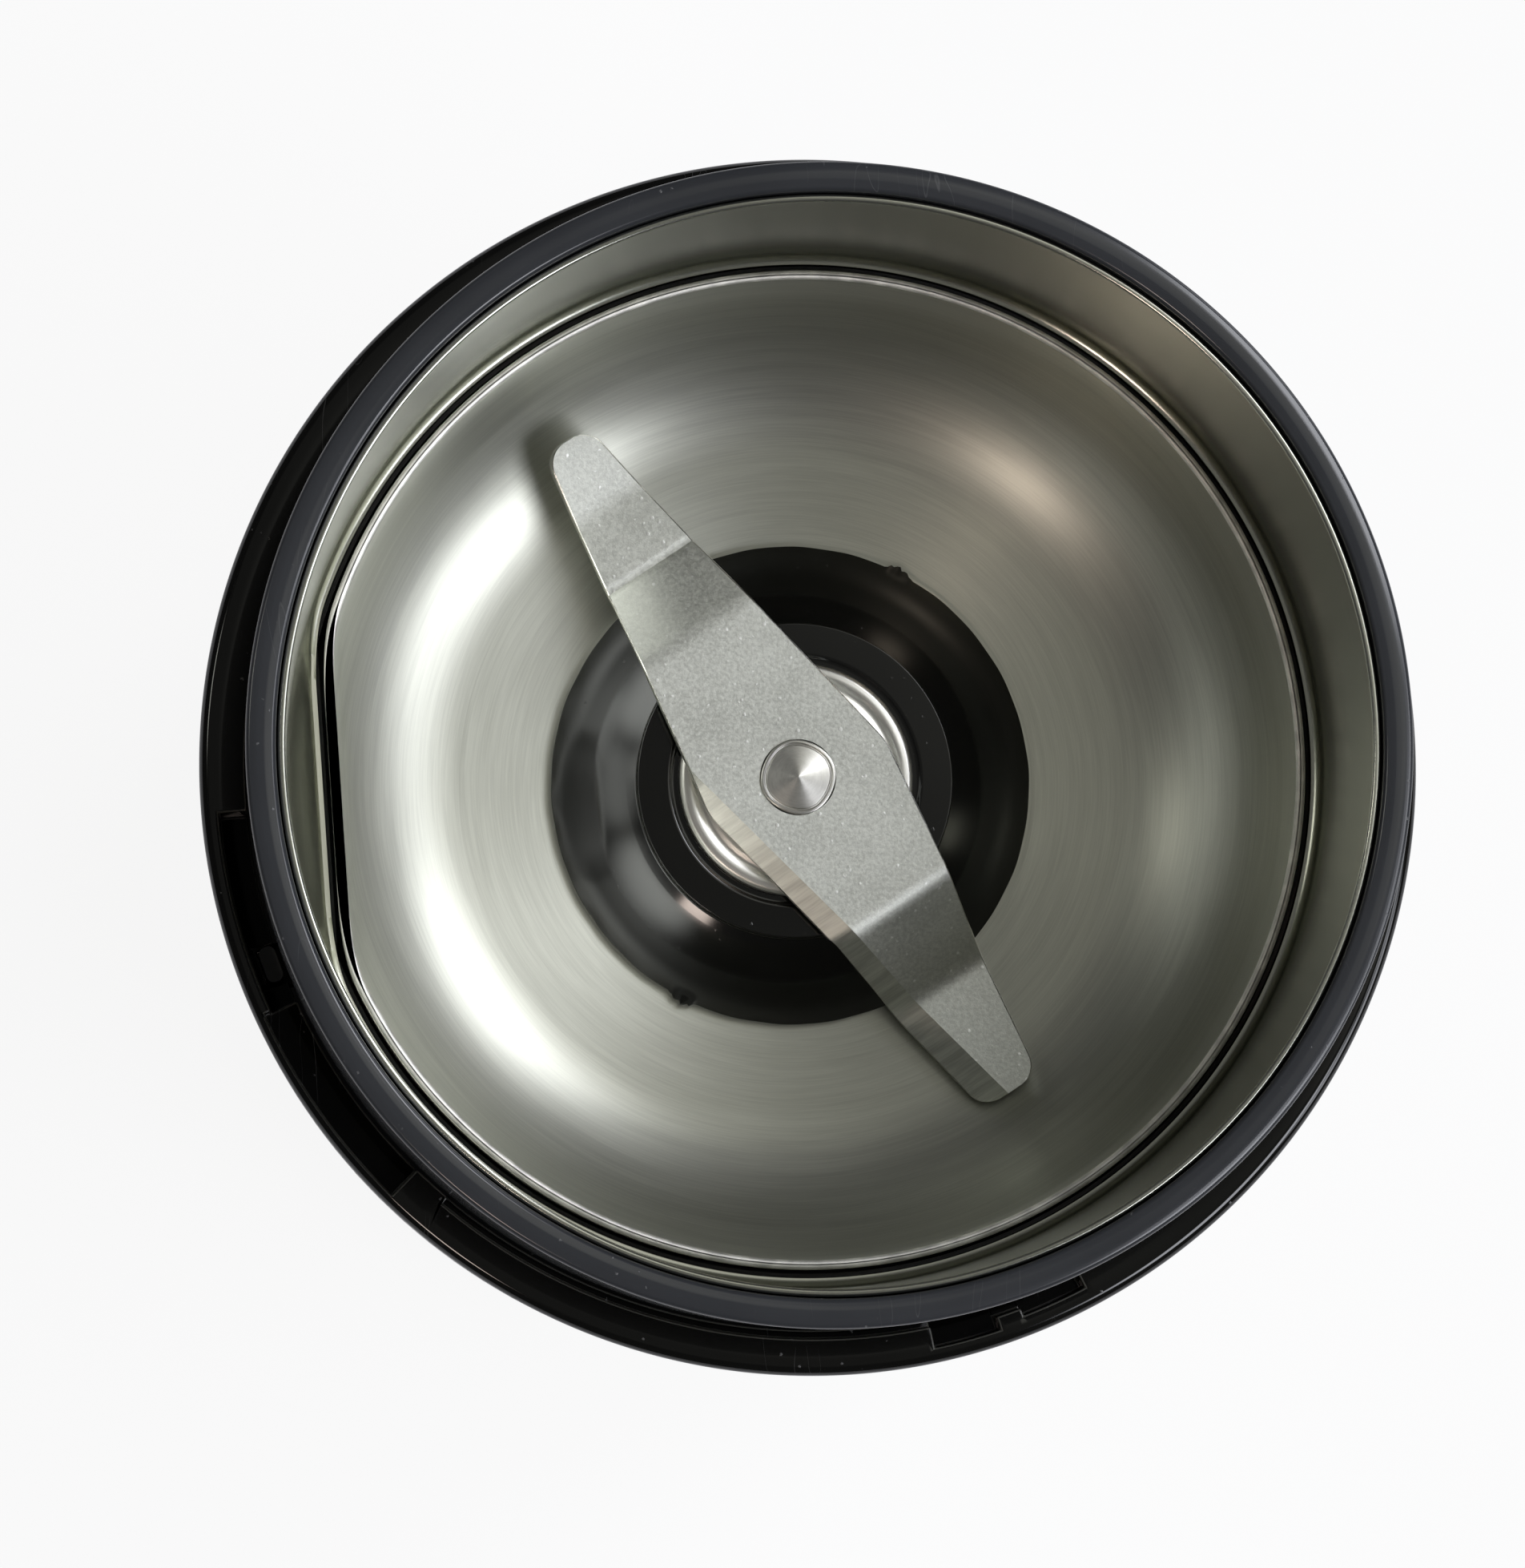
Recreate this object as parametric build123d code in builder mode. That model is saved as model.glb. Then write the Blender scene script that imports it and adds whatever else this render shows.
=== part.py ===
from build123d import *
import os
from math import cos, radians, sin, sqrt

# Electric spice grinder, shown with its lid off: a motor housing, a steel-lined
# well with a plastic rim, and a drop-in steel bowl that carries its own blade.
# Millimetres and degrees. +Z is up, -Y is the front, and the origin is the centre
# of the footprint, on the surface that the feet stand on.

# ---------------------------------------------------------------- driving sizes

# Clearances
fit = 0.05  # round piece in its own hole, same body
running = 0.06  # shaft in its bearing
loose = 0.2  # moulded piece beside its neighbour
body_gap = 0.3  # between pieces that move apart
pilot_room = 1.0  # hole past the end of its screw

# Feet and base plate
foot_height = 4.0
foot_radius = 5.0
foot_recess = 1.0
foot_inset = 11.2
foot_count = 4
base_thickness = 2.5
vent_length = 8.0
vent_width = 2.4
vent_circle = 25.0
vent_count = 12
leg_angle = 45.0

# Shell
shell_height = 116.0
shell_wall = 1.6
shell_taper = 2.2
shell_foot_round = 1.0
shell_rib_width = 1.6
shell_rib_height = 2.0
shell_rib_drop = 5.0
post_radius = 3.4
post_sink = 0.2
post_height = 14.0
screw_radius = 1.4
screw_head_radius = 2.6
screw_head_height = 1.6
base_screw_length = 11.0
cross_reach = 0.65  # of a screw head's radius

# Collar with the ledge that the lid locks on
parting_groove = 0.4
collar_height = 8.6
collar_step = 0.1
ledge_radius = 47.5
ledge_width = 3.75
ledge_round = 0.9

# Rim and bowl chamber
rim_rise = 20.2
rim_wall = 2.28
rim_relief = 0.55  # rim is thinner inside the collar
rim_round = 0.6
flange_height = 2.0
chamber_wall = 1.6
seal_step_drop = 10.0
chamber_depth = 34.0
chamber_floor = 3.0
chamber_clearance = 0.7
chamber_hole = 11.5
dam_wall = 1.6
dam_height = 0.8

# Lid catches in the ledge: pockets between two angles, out to a margin from its edge
slot_start = 184.5
slot_end = 204.0
slot_margin = 1.5
slot_depth = 6.0
ramp_start = 206.0
ramp_end = 226.0
ramp_margin = 1.0
ramp_depth = 2.6
groove_start = 230.0
groove_end = 282.0
groove_margin = 2.75
groove_depth = 1.2
key_start = 282.5
key_end = 297.5
key_margin = 1.2
key_bump_start = 289.5
key_bump_end = 292.5
key_bump_margin = 1.8
key_depth = 3.0
catch_turn = 180.0  # the ramp pocket is repeated on the far side

# Steel well sleeve
sleeve_thickness = 0.6
sleeve_recess = 0.8
sleeve_fit = 0.12
shelf_drop = 5.6
shelf_width = 0.8
flat_angle = 184.0
flat_lean = 24.0

# Bowl
bowl_thickness = 0.8
bowl_inset = 4.45
bowl_lip_rise = 1.5
bowl_depth = 19.1  # from the lip to the hub's seat
bowl_corner = 12.2
floor_rise = 1.0  # from the hub to the wall, as a cone
bowl_hole = 16.0
flat_inset = 1.95
seam_gap = 0.65
flat_gap = 0.6
flat_shelf = 0.35
lip_edge = 0.25

# Bowl hub and bowl base
hub_radius = 19.5
hub_edge = 0.8
hub_shoulder_radius = 16.6
hub_shoulder_rise = 2.3  # over its edge
hub_foot_rise = 3.7  # over its edge, where the boss stands
hub_dome_round = 20.0
hub_floor = 2.5  # under the seat
hub_boss_radius = 12.7
hub_boss_height = 5.0
hub_boss_round = 0.3
hub_lug_width = 2.2
hub_lug_reach = 0.6
hub_lug_angle = 63.0
hub_foot_round = 0.4
hub_edge_round = 0.3
hub_tube_radius = 9.0
base_ring_inset = 6.3
base_ring_wall = 2.0
base_flange = 2.0
base_seat_gap = 0.2
base_flange_rise = 2.5
skirt_height = 6.0
support_ring_offset = 7.0
clamp_circle = 11.5
clamp_count = 3
clamp_post_radius = 2.8
clamp_screw_length = 6.0

# Blade, washer, shaft and bearing
blade_angle = 303.9
blade_thickness = 1.6
blade_length = 32.7
blade_length_low = 30.5
blade_half_width = 7.55
blade_skew = 1.4
blade_tip_round = 1.6
tip_left = 2.4
tip_right = 1.75
low_tip_left = 1.8
low_tip_right = 3.4
high_bend = 14.2
high_flat = 20.6
high_lift = 26.6
high_drop = 1.8
tip_lift = 0.8
low_bend = 12.9
low_flat = 20.2
low_drop = 5.3
bevel_width = 2.5
bevel_start = -7.0
bevel_across = -5.26
bevel_taper = 0.198
bevel_edge = 0.5
washer_radius = 9.4
washer_thickness = 1.0
washer_round = 0.6
shaft_radius = 4.0
neck_radius = 3.0
rivet_rise = 0.25
rivet_cone = 0.45
bush_wall = 2.5
bush_length = 11.5
shaft_seal_height = 1.1
thrust_thickness = 0.5
circlip_thickness = 0.8
circlip_reach = 2.2
circlip_depth = 0.6
circlip_gap = 70.0

# Drive couplings
coupling_radius = 8.5
coupling_disc = 3.6
dog_height = 3.2
dog_count = 4
dog_angle = 40.0
dog_inner = 4.6

# Motor
motor_shaft_radius = 3.0
fan_radius = 24.0
fan_plate = 1.2
fan_height = 6.0
fan_hub_radius = 6.0
fan_blade_count = 9
fan_blade_width = 1.4
fan_blade_root = 0.5
fan_clearance = 6.0
bracket_thickness = 3.0
bracket_vent = 12.0
bracket_vent_circle = 25.0
bracket_gap = 1.5
bearing_radius = 7.5
bearing_height = 7.0
cup_wall = 1.6
cup_lip = 0.8
leg_height = 14.0
leg_radius = 3.0
leg_x = 24.5
leg_y = 21.5
stack_height = 24.0
stator_x = 56.0
stator_y = 50.0
stator_corner = 6.0
window_x = 44.0
window_y = 38.0
window_corner = 3.0
air_gap = 0.6
armature_radius = 15.0
armature_slots = 12
armature_slot_width = 1.8
armature_slot_depth = 5.0
shoe_thickness = 3.0
shoe_angle = 110.0
neck_width = 18.0
coil_depth = 2.9
coil_band = 6.0
winding_height = 7.0
winding_radius = 13.5
winding_inner = 4.2
commutator_radius = 8.5
commutator_height = 9.0
commutator_drop = 8.5
commutator_bars = 12
commutator_cut = 0.6
low_leg_height = 20.0
brush_side = 5.0
brush_length = 11.0
brush_gap = 0.3
holder_wall = 1.0
holder_length = 15.0
holder_start = 11.0
spring_wire = 0.25
spring_radius = 1.7
spring_coils = 5
bolt_radius = 1.5
bolt_head_radius = 2.8
bolt_head_height = 2.0
mount_inset = 6.3
mount_angle = 0.0
mount_post_radius = 4.0
mount_pad_radius = 5.0
mount_pad_height = 3.0
mount_screw_length = 11.0

# Lid interlock and switch
rod_angle = 200.5
rod_tip_inset = 2.8
rod_tip_depth = 1.3
rod_tip_width = 2.8
rod_tip_round = 0.55
rod_tip_drop = 3.4
rod_chamber_gap = 0.45
rod_depth = 1.7
rod_width = 3.2
rod_crank_drop = 12.4
rod_crank_height = 3.0
rod_foot_drop = 56.0
rod_foot_height = 2.5
rod_arm = 5.4
rod_pin_radius = 1.5
rod_pin_length = 9.0
rod_travel = 3.0
rod_gap = 0.15
return_coils = 5
return_wire = 0.25
spring_room = 2.6  # under the rod's foot when the rod is down
switch_width = 6.4
switch_length = 18.0
switch_height = 10.5
switch_drop = 7.0
switch_shift = 5.0
switch_pin_radius = 1.2
switch_pin_spread = 9.0
switch_ear = 0.74
switch_ear_length = 2.6
lever_length = 15.5
lever_width = 4.0
lever_thickness = 0.5
lever_gap = 0.2
lever_pivot_radius = 0.8
lever_pivot_rise = 1.2
lever_pivot_place = 13.0
holder_plate = 1.0
holder_start_turn = -10.0
holder_end_turn = 14.5
switch_shelf = 2.0

# Mains side
inlet_height = 14.0
inlet_radius = 3.2
grommet_radius = 4.6
grommet_flange = 1.4
grommet_flange_thickness = 1.2
block_width = 16.0
block_depth = 9.0
block_height = 9.0
block_inset = 16.7
block_round = 0.8
capacitor_width = 6.0
capacitor_length = 17.0
capacitor_height = 11.0
capacitor_inset = 14.7
capacitor_round = 1.2
fuse_radius = 1.6
fuse_length = 12.0
lead_radius = 0.9
lead_bend = 3.0
switch_tab_turn = 6.0
lead_inset = 8.7
switch_lead = [(116.0, 0.0, 0.0), (148.0, 0.0, 0.0), (173.0, 2.0, 0.0), (192.4, 10.0, 0.0)]
switch_tab_drop = 14.4
coil_lead_angle = 213.5
coil_lead_circle = 35.4
coil_lead_drop = 4.4
coil_tab_y = 8.0
coil_tab_drop = 8.4
block_lead = [(64.0, 0.0, 0.0), (36.0, 0.0, 0.5), (22.5, 10.0, 5.0)]  # angle, rise, inwards

# ------------------------------------------------------------- worked-out levels

shell_bottom = foot_height - foot_recess
base_top = shell_bottom + base_thickness
shell_top = shell_bottom + shell_height
ledge_level = shell_top + parting_groove + collar_height
rim_top = ledge_level + rim_rise
rib_top = shell_top - shell_rib_drop
flange_top = rib_top + flange_height
seal_level = ledge_level - seal_step_drop
floor_level = ledge_level - chamber_depth
floor_underside = floor_level - chamber_floor
shelf_level = ledge_level - shelf_drop
lip_level = shelf_level + bowl_lip_rise
seat_level = lip_level - bowl_depth
hub_level = seat_level + hub_edge
hub_shoulder_level = hub_level + hub_shoulder_rise
hub_foot_level = hub_level + hub_foot_rise
hub_underside = seat_level - hub_floor
boss_level = hub_level + hub_boss_height
washer_level = boss_level + body_gap
blade_level = washer_level + washer_thickness
blade_top = blade_level + blade_thickness
bush_top = boss_level - shaft_seal_height
bush_bottom = bush_top - bush_length
circlip_level = bush_bottom - thrust_thickness - circlip_thickness - 2 * running
bowl_base_bottom = floor_level + base_seat_gap
base_flange_bottom = bowl_base_bottom + base_flange_rise
base_flange_top = base_flange_bottom + base_flange
driven_top = circlip_level - body_gap
driven_bottom = driven_top - coupling_disc
dog_bottom = driven_bottom - dog_height
drive_top = dog_bottom - body_gap
drive_bottom = drive_top - coupling_disc
fan_top = floor_underside - fan_clearance
fan_level = fan_top - fan_height
bracket_top = fan_level - bracket_gap
bracket_level = bracket_top - bracket_thickness
cup_bottom = bracket_top - cup_lip - bearing_height
stack_top = bracket_level - leg_height
stack_bottom = stack_top - stack_height
commutator_top = stack_bottom - commutator_drop
commutator_bottom = commutator_top - commutator_height
brush_level = commutator_bottom + commutator_height / 2
low_bracket_top = stack_bottom - low_leg_height
low_bracket_level = low_bracket_top - bracket_thickness
low_cup_bottom = low_bracket_top - cup_lip - bearing_height
mount_post_bottom = bracket_top + mount_pad_height
mount_screw_end = bracket_level + mount_screw_length
crank_top = ledge_level - rod_crank_drop
crank_bottom = crank_top - rod_crank_height
foot_top = ledge_level - rod_foot_drop
foot_bottom = foot_top - rod_foot_height
pin_bottom = foot_bottom - rod_pin_length
holder_shelf_top = foot_bottom - rod_travel - spring_room
holder_shelf_bottom = holder_shelf_top - switch_shelf
switch_top = holder_shelf_bottom - switch_drop
switch_bottom = switch_top - switch_height
pivot_level = switch_top + lever_pivot_rise

# ------------------------------------------------------- worked-out radii and places

shell_top_radius = ledge_radius - collar_step
shell_foot_radius = shell_top_radius - shell_taper


def shell_radius(height):
    """Outer radius of the tapered shell at a height."""
    share = (height - shell_bottom) / shell_height
    return shell_foot_radius + (shell_top_radius - shell_foot_radius) * share


def shell_bore(height):
    """Inner radius of the tapered shell at a height."""
    return shell_radius(height) - shell_wall


post_circle = shell_foot_radius - shell_wall - post_radius + post_sink
foot_circle = shell_foot_radius - foot_inset
rim_radius = ledge_radius - ledge_width
rim_bore = rim_radius - rim_wall
collar_bore = rim_radius + loose
sleeve_outer = rim_bore - sleeve_fit
sleeve_inner = sleeve_outer - sleeve_thickness
bowl_radius = rim_radius - bowl_inset
flat_distance = bowl_radius - flat_inset
base_ring_radius = bowl_radius - base_ring_inset
support_ring_radius = hub_radius + support_ring_offset
mount_circle = bowl_radius - mount_inset
bracket_radius = mount_circle + mount_pad_radius
shelf_radius = bowl_radius + seam_gap
flat_hole = flat_distance + flat_gap
bowl_inner = bowl_radius - bowl_thickness
chamber_bore = bowl_radius + chamber_clearance
chamber_outer = chamber_bore + chamber_wall
bush_radius = shaft_radius + bush_wall
hub_bore = bush_radius + fit
block_back = shell_foot_radius - block_inset
capacitor_place = shell_foot_radius - capacitor_inset
lead_circle = shell_foot_radius - lead_inset
stator_bore = armature_radius + air_gap
cup_bore = bearing_radius + fit
cup_radius = cup_bore + cup_wall
rod_tip_circle = ledge_radius - rod_tip_inset
rod_circle = chamber_outer + rod_chamber_gap + rod_depth / 2
rod_pin_circle = rod_circle - rod_arm
holder_radius = shell_bore(switch_bottom) - loose
switch_outer = sqrt((holder_radius - holder_plate) ** 2 - (switch_length / 2 + switch_shift) ** 2) - rod_gap
switch_place = switch_outer - switch_width / 2
rod_tip_hole = (rod_tip_depth + 2 * rod_gap, rod_tip_width + 2 * rod_gap)
rod_notch_inner = rod_circle - rod_depth / 2 - body_gap
rod_notch_outer = rod_tip_circle + rod_tip_depth / 2 + rod_gap
rod_notch_place = (rod_notch_inner + rod_notch_outer) / 2
rod_notch = (rod_notch_outer - rod_notch_inner, rod_width + 2 * body_gap)
rod_notch_bottom = rib_top - 2 * shell_rib_height
corner_angles = [leg_angle + 90 * step for step in range(4)]
leg_places = [(leg_x * x, leg_y * y) for x in (-1, 1) for y in (-1, 1)]


def polar(radius, angle):
    """Point in the XY plane at a radius and an angle."""
    return radius * cos(radians(angle)), radius * sin(radians(angle))


def around(radius, count, first=0.0):
    """Places evenly spaced on a circle."""
    return [polar(radius, first + 360 / count * step) for step in range(count)]


def facing(angle):
    """Ground plane whose X axis points outwards at an angle."""
    return Plane(origin=(0, 0, 0), x_dir=(*polar(1, angle), 0), z_dir=(0, 0, 1))


def flat_plane(distance, lean=0.0, level=0.0):
    """Plane across the flat side of the well, leaning outwards towards the top."""
    across = polar(cos(radians(lean)), flat_angle)
    return Plane(origin=(*polar(distance, flat_angle), level), z_dir=(*across, -sin(radians(lean))))


rod_plane = facing(rod_angle)
base_holes = [polar(post_circle, angle) for angle in corner_angles]
mount_places = around(mount_circle, 4, mount_angle)
clamp_places = around(clamp_circle, clamp_count)

# --------------------------------------------------------- operations that repeat
# Each one works on the part block that it is called in.


def turn(points, mode=Mode.ADD, rounds=()):
    """Turn a closed outline of (radius, height) points about the Z axis.

    Each round is a corner of the outline and the radius that it gets.
    """
    with BuildSketch(Plane.XZ) as outline:
        with BuildLine():
            Polyline(*points, close=True)
        make_face()
        for corner, radius in rounds:
            fillet(outline.vertices().sort_by_distance(corner)[0], radius)
    revolve(outline.sketch, axis=Axis.Z, mode=mode)


def ring(inner, outer, bottom, top, mode=Mode.ADD):
    """Plain ring between two levels; an inner radius of zero makes a disc."""
    with BuildSketch(Plane.XY.offset(bottom)) as outline:
        Circle(outer)
        if inner > 0:
            Circle(inner, mode=Mode.SUBTRACT)
    extrude(outline.sketch, amount=top - bottom, mode=mode)


def block(plane, place, size, bottom, top, mode=Mode.ADD, corner=0.0):
    """Upright block with its centre at a place in the plane."""
    with BuildSketch(plane.offset(bottom)) as outline:
        with Locations(place):
            if corner > 0:
                RectangleRounded(*size, corner)
            else:
                Rectangle(*size)
    extrude(outline.sketch, amount=top - bottom, mode=mode)


def rods(places, radius, bottom, top, mode=Mode.ADD, plane=Plane.XY):
    """Round rods at several places, square to a plane."""
    with BuildSketch(plane.offset(bottom)) as outline:
        with Locations(*places):
            Circle(radius)
    extrude(outline.sketch, amount=top - bottom, mode=mode)


def sector(inner, outer, start, end, bottom, top, mode=Mode.ADD):
    """Upright piece of a ring between two angles."""
    with BuildSketch(Plane.XY.offset(bottom)) as outline:
        with BuildLine():
            low_arc = CenterArc((0, 0), inner, start, end - start)
            high_arc = CenterArc((0, 0), outer, start, end - start)
            Line(low_arc @ 0, high_arc @ 0)
            Line(low_arc @ 1, high_arc @ 1)
        make_face()
    extrude(outline.sketch, amount=top - bottom, mode=mode)


def coil(plane, radius, wire, length, turns):
    """Helical spring of round wire that starts on a plane."""
    start = plane.origin + plane.z_dir * wire
    with BuildLine() as path:
        Helix((length - 2 * wire) / turns, length - 2 * wire, radius, center=start, direction=plane.z_dir)
    with BuildSketch(Plane(origin=path.line @ 0, z_dir=path.line % 0)) as section:
        Circle(wire)
    sweep(section.sketch, path=path.line)


def screws(places, shank, head, head_height, bottom, length):
    """Screws driven upwards, with their heads below a level."""
    rods(places, head, bottom - head_height, bottom)
    rods(places, shank, bottom, bottom + length)
    with BuildSketch(Plane.XY.offset(bottom - head_height)) as cross:
        with Locations(*places):
            Rectangle(2 * head * cross_reach, head_height / 3)
            Rectangle(head_height / 3, 2 * head * cross_reach)
    extrude(cross.sketch, amount=head_height / 2, mode=Mode.SUBTRACT)


# ------------------------------------------------------------------ feet and base

with BuildPart() as rubber_feet:
    rods(around(foot_circle, foot_count), foot_radius, 0, foot_height)
    chamfer(rubber_feet.edges().group_by(Axis.Z)[0], foot_recess / 2)

with BuildPart() as base_plate:
    ring(0, shell_bore(shell_bottom) - loose, shell_bottom, base_top)
    rods(around(foot_circle, foot_count), foot_radius + fit, shell_bottom, foot_height, Mode.SUBTRACT)
    with BuildSketch(Plane.XY.offset(shell_bottom)) as vents:
        with PolarLocations(vent_circle, vent_count, start_angle=180 / vent_count):
            SlotOverall(vent_length, vent_width)
    extrude(vents.sketch, amount=base_thickness, mode=Mode.SUBTRACT)
    rods(base_holes, screw_radius + fit, shell_bottom, base_top, Mode.SUBTRACT)

with BuildPart() as base_screws:
    screws(base_holes, screw_radius, screw_head_radius, screw_head_height, shell_bottom, base_screw_length)

# -------------------------------------------------------------------------- shell

with BuildPart() as shell:
    turn([
        (shell_bore(shell_bottom), shell_bottom),
        (shell_radius(shell_bottom), shell_bottom),
        (shell_radius(shell_top), shell_top),
        (shell_bore(shell_top), shell_top),
    ], rounds=[((shell_radius(shell_bottom), shell_bottom), shell_foot_round)])
    turn([
        (shell_bore(rib_top) + shell_wall / 2, rib_top),
        (shell_bore(rib_top) - shell_rib_width, rib_top),
        (shell_bore(rib_top) - shell_rib_width, rib_top - shell_rib_height / 2),
        (shell_bore(rib_top) + shell_wall / 2, rib_top - 2 * shell_rib_height),
    ])
    rods(base_holes, post_radius, base_top + fit, base_top + post_height)
    pilot_top = shell_bottom + base_screw_length + pilot_room
    rods(base_holes, screw_radius + fit, base_top, pilot_top, Mode.SUBTRACT)
    with BuildSketch(Plane.XZ) as inlet_hole:
        with Locations((0, inlet_height)):
            Circle(grommet_radius)
    extrude(inlet_hole.sketch, amount=-shell_top_radius, mode=Mode.SUBTRACT)
    block(rod_plane, (rod_notch_place, 0), rod_notch, rod_notch_bottom, shell_top, Mode.SUBTRACT)

# ------------------------------------------------------------- collar and chamber

ledge_pockets = [
    (slot_margin, slot_start, slot_end, slot_depth),
    (ramp_margin, ramp_start, ramp_end, ramp_depth),
    (ramp_margin, ramp_start + catch_turn, ramp_end + catch_turn, ramp_depth),
    (groove_margin, groove_start, groove_end, groove_depth),
    (key_margin, key_start, key_bump_start, key_depth),
    (key_bump_margin, key_bump_start, key_bump_end, key_depth),
    (key_margin, key_bump_end, key_end, key_depth),
]

with BuildPart() as ledge_collar:
    turn([
        (collar_bore, flange_top + fit),
        (shell_bore(shell_top) - loose, flange_top + fit),
        (shell_bore(shell_top) - loose, shell_top + parting_groove),
        (shell_top_radius, shell_top + parting_groove),
        (ledge_radius, ledge_level),
        (collar_bore, ledge_level),
    ], rounds=[((ledge_radius, ledge_level), ledge_round)])
    for margin, start, end, depth in ledge_pockets:
        sector(collar_bore / 2, ledge_radius - margin, start, end, ledge_level - depth, ledge_level,
               Mode.SUBTRACT)
    block(rod_plane, (rod_tip_circle, 0), rod_tip_hole, flange_top, ledge_level, Mode.SUBTRACT)

with BuildPart() as rim_chamber:
    turn([
        (rim_bore, seal_level),
        (rim_bore, rim_top),
        (rim_radius, rim_top),
        (rim_radius, ledge_level),
        (rim_radius - rim_relief, ledge_level),
        (rim_radius - rim_relief, flange_top),
        (shell_bore(flange_top) - loose, flange_top),
        (shell_bore(flange_top) - loose, rib_top),
        (chamber_outer, rib_top),
        (chamber_outer, floor_underside),
        (chamber_hole, floor_underside),
        (chamber_hole, floor_level + dam_height),
        (chamber_hole + dam_wall, floor_level + dam_height),
        (chamber_hole + dam_wall, floor_level),
        (chamber_bore, floor_level),
        (chamber_bore, seal_level),
    ], rounds=[((rim_bore, rim_top), rim_round), ((rim_radius, rim_top), rim_round)])
    rods(mount_places, mount_post_radius, mount_post_bottom, floor_underside)
    rods(mount_places, bolt_radius + fit, mount_post_bottom, mount_screw_end + pilot_room, Mode.SUBTRACT)
    block(rod_plane, (rod_notch_place, 0), rod_notch, rod_notch_bottom, flange_top, Mode.SUBTRACT)

# -------------------------------------------------------------------- well sleeve

flat_edge = flat_hole + flat_shelf
sleeve_top = rim_top - sleeve_recess
sleeve_bottom = shelf_level - sleeve_thickness

with BuildPart() as sleeve_cavity:
    turn([
        (0, shelf_level),
        (sleeve_inner, shelf_level),
        (sleeve_inner, sleeve_top),
        (0, sleeve_top),
    ], rounds=[((sleeve_inner, shelf_level), shelf_width)])
    split(bisect_by=flat_plane(flat_edge, flat_lean, shelf_level), keep=Keep.BOTTOM)

with BuildPart() as sleeve_mouth:
    ring(0, shelf_radius, sleeve_bottom, shelf_level)
    split(bisect_by=flat_plane(flat_hole), keep=Keep.BOTTOM)

with BuildPart() as well_sleeve:
    turn([
        (0, sleeve_bottom),
        (sleeve_outer, sleeve_bottom),
        (sleeve_outer, sleeve_top),
        (0, sleeve_top),
    ], rounds=[((sleeve_outer, sleeve_bottom), shelf_width + sleeve_thickness)])
    outer_edge = flat_edge + sleeve_thickness / cos(radians(flat_lean))
    split(bisect_by=flat_plane(outer_edge, flat_lean, shelf_level), keep=Keep.BOTTOM)
    add(sleeve_cavity.part, mode=Mode.SUBTRACT)
    add(sleeve_mouth.part, mode=Mode.SUBTRACT)

with BuildPart() as seal_mouth:
    ring(0, bowl_radius + body_gap, seal_level, sleeve_bottom)
    split(bisect_by=flat_plane(flat_distance + body_gap), keep=Keep.BOTTOM)

with BuildPart() as bowl_seal:
    ring(0, rim_bore - sleeve_fit, seal_level, sleeve_bottom)
    add(seal_mouth.part, mode=Mode.SUBTRACT)

# --------------------------------------------------------------------------- bowl

seat_edge = hub_radius + loose
wall_foot = seat_level + floor_rise

with BuildPart() as bowl_cavity:
    turn([
        (0, seat_level),
        (seat_edge, seat_level),
        (bowl_inner, wall_foot),
        (bowl_inner, lip_level),
        (0, lip_level),
    ], rounds=[((bowl_inner, wall_foot), bowl_corner)])
    split(bisect_by=flat_plane(flat_distance - bowl_thickness), keep=Keep.BOTTOM)

with BuildPart() as bowl:
    turn([
        (0, seat_level - bowl_thickness),
        (seat_edge, seat_level - bowl_thickness),
        (bowl_radius, wall_foot - bowl_thickness),
        (bowl_radius, lip_level),
        (0, lip_level),
    ], rounds=[((bowl_radius, wall_foot - bowl_thickness), bowl_corner + bowl_thickness)])
    split(bisect_by=flat_plane(flat_distance), keep=Keep.BOTTOM)
    add(bowl_cavity.part, mode=Mode.SUBTRACT)
    ring(0, bowl_hole, seat_level - bowl_thickness, seat_level, Mode.SUBTRACT)
    chamfer(bowl.edges().group_by(Axis.Z)[-1], lip_edge)

with BuildPart() as bowl_hub:
    turn([
        (hub_bore, bush_bottom),
        (hub_tube_radius, bush_bottom),
        (hub_tube_radius, hub_underside),
        (bowl_hole - loose, hub_underside),
        (bowl_hole - loose, seat_level),
        (hub_radius, seat_level),
        (hub_radius, hub_level),
        (hub_shoulder_radius, hub_shoulder_level),
        (hub_boss_radius, hub_foot_level),
        (hub_boss_radius, boss_level),
        (hub_bore, boss_level),
    ], rounds=[
        ((hub_shoulder_radius, hub_shoulder_level), hub_dome_round),
        ((hub_radius, hub_level), hub_edge_round),
        ((hub_boss_radius, hub_foot_level), hub_foot_round),
        ((hub_boss_radius, boss_level), hub_boss_round),
    ])
    for turned in (0, 180):
        lug_place = (hub_radius + hub_lug_reach - hub_lug_width / 2, 0)
        lug_size = (hub_lug_width, hub_lug_width)
        block(facing(hub_lug_angle + turned), lug_place, lug_size, seat_level, hub_level)
    rods(clamp_places, clamp_post_radius, base_flange_top, hub_underside)
    ring(0, hub_bore, bush_bottom, boss_level, Mode.SUBTRACT)
    pilot_end = base_flange_bottom + clamp_screw_length + pilot_room
    rods(clamp_places, screw_radius + fit, base_flange_top, pilot_end, Mode.SUBTRACT)

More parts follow.
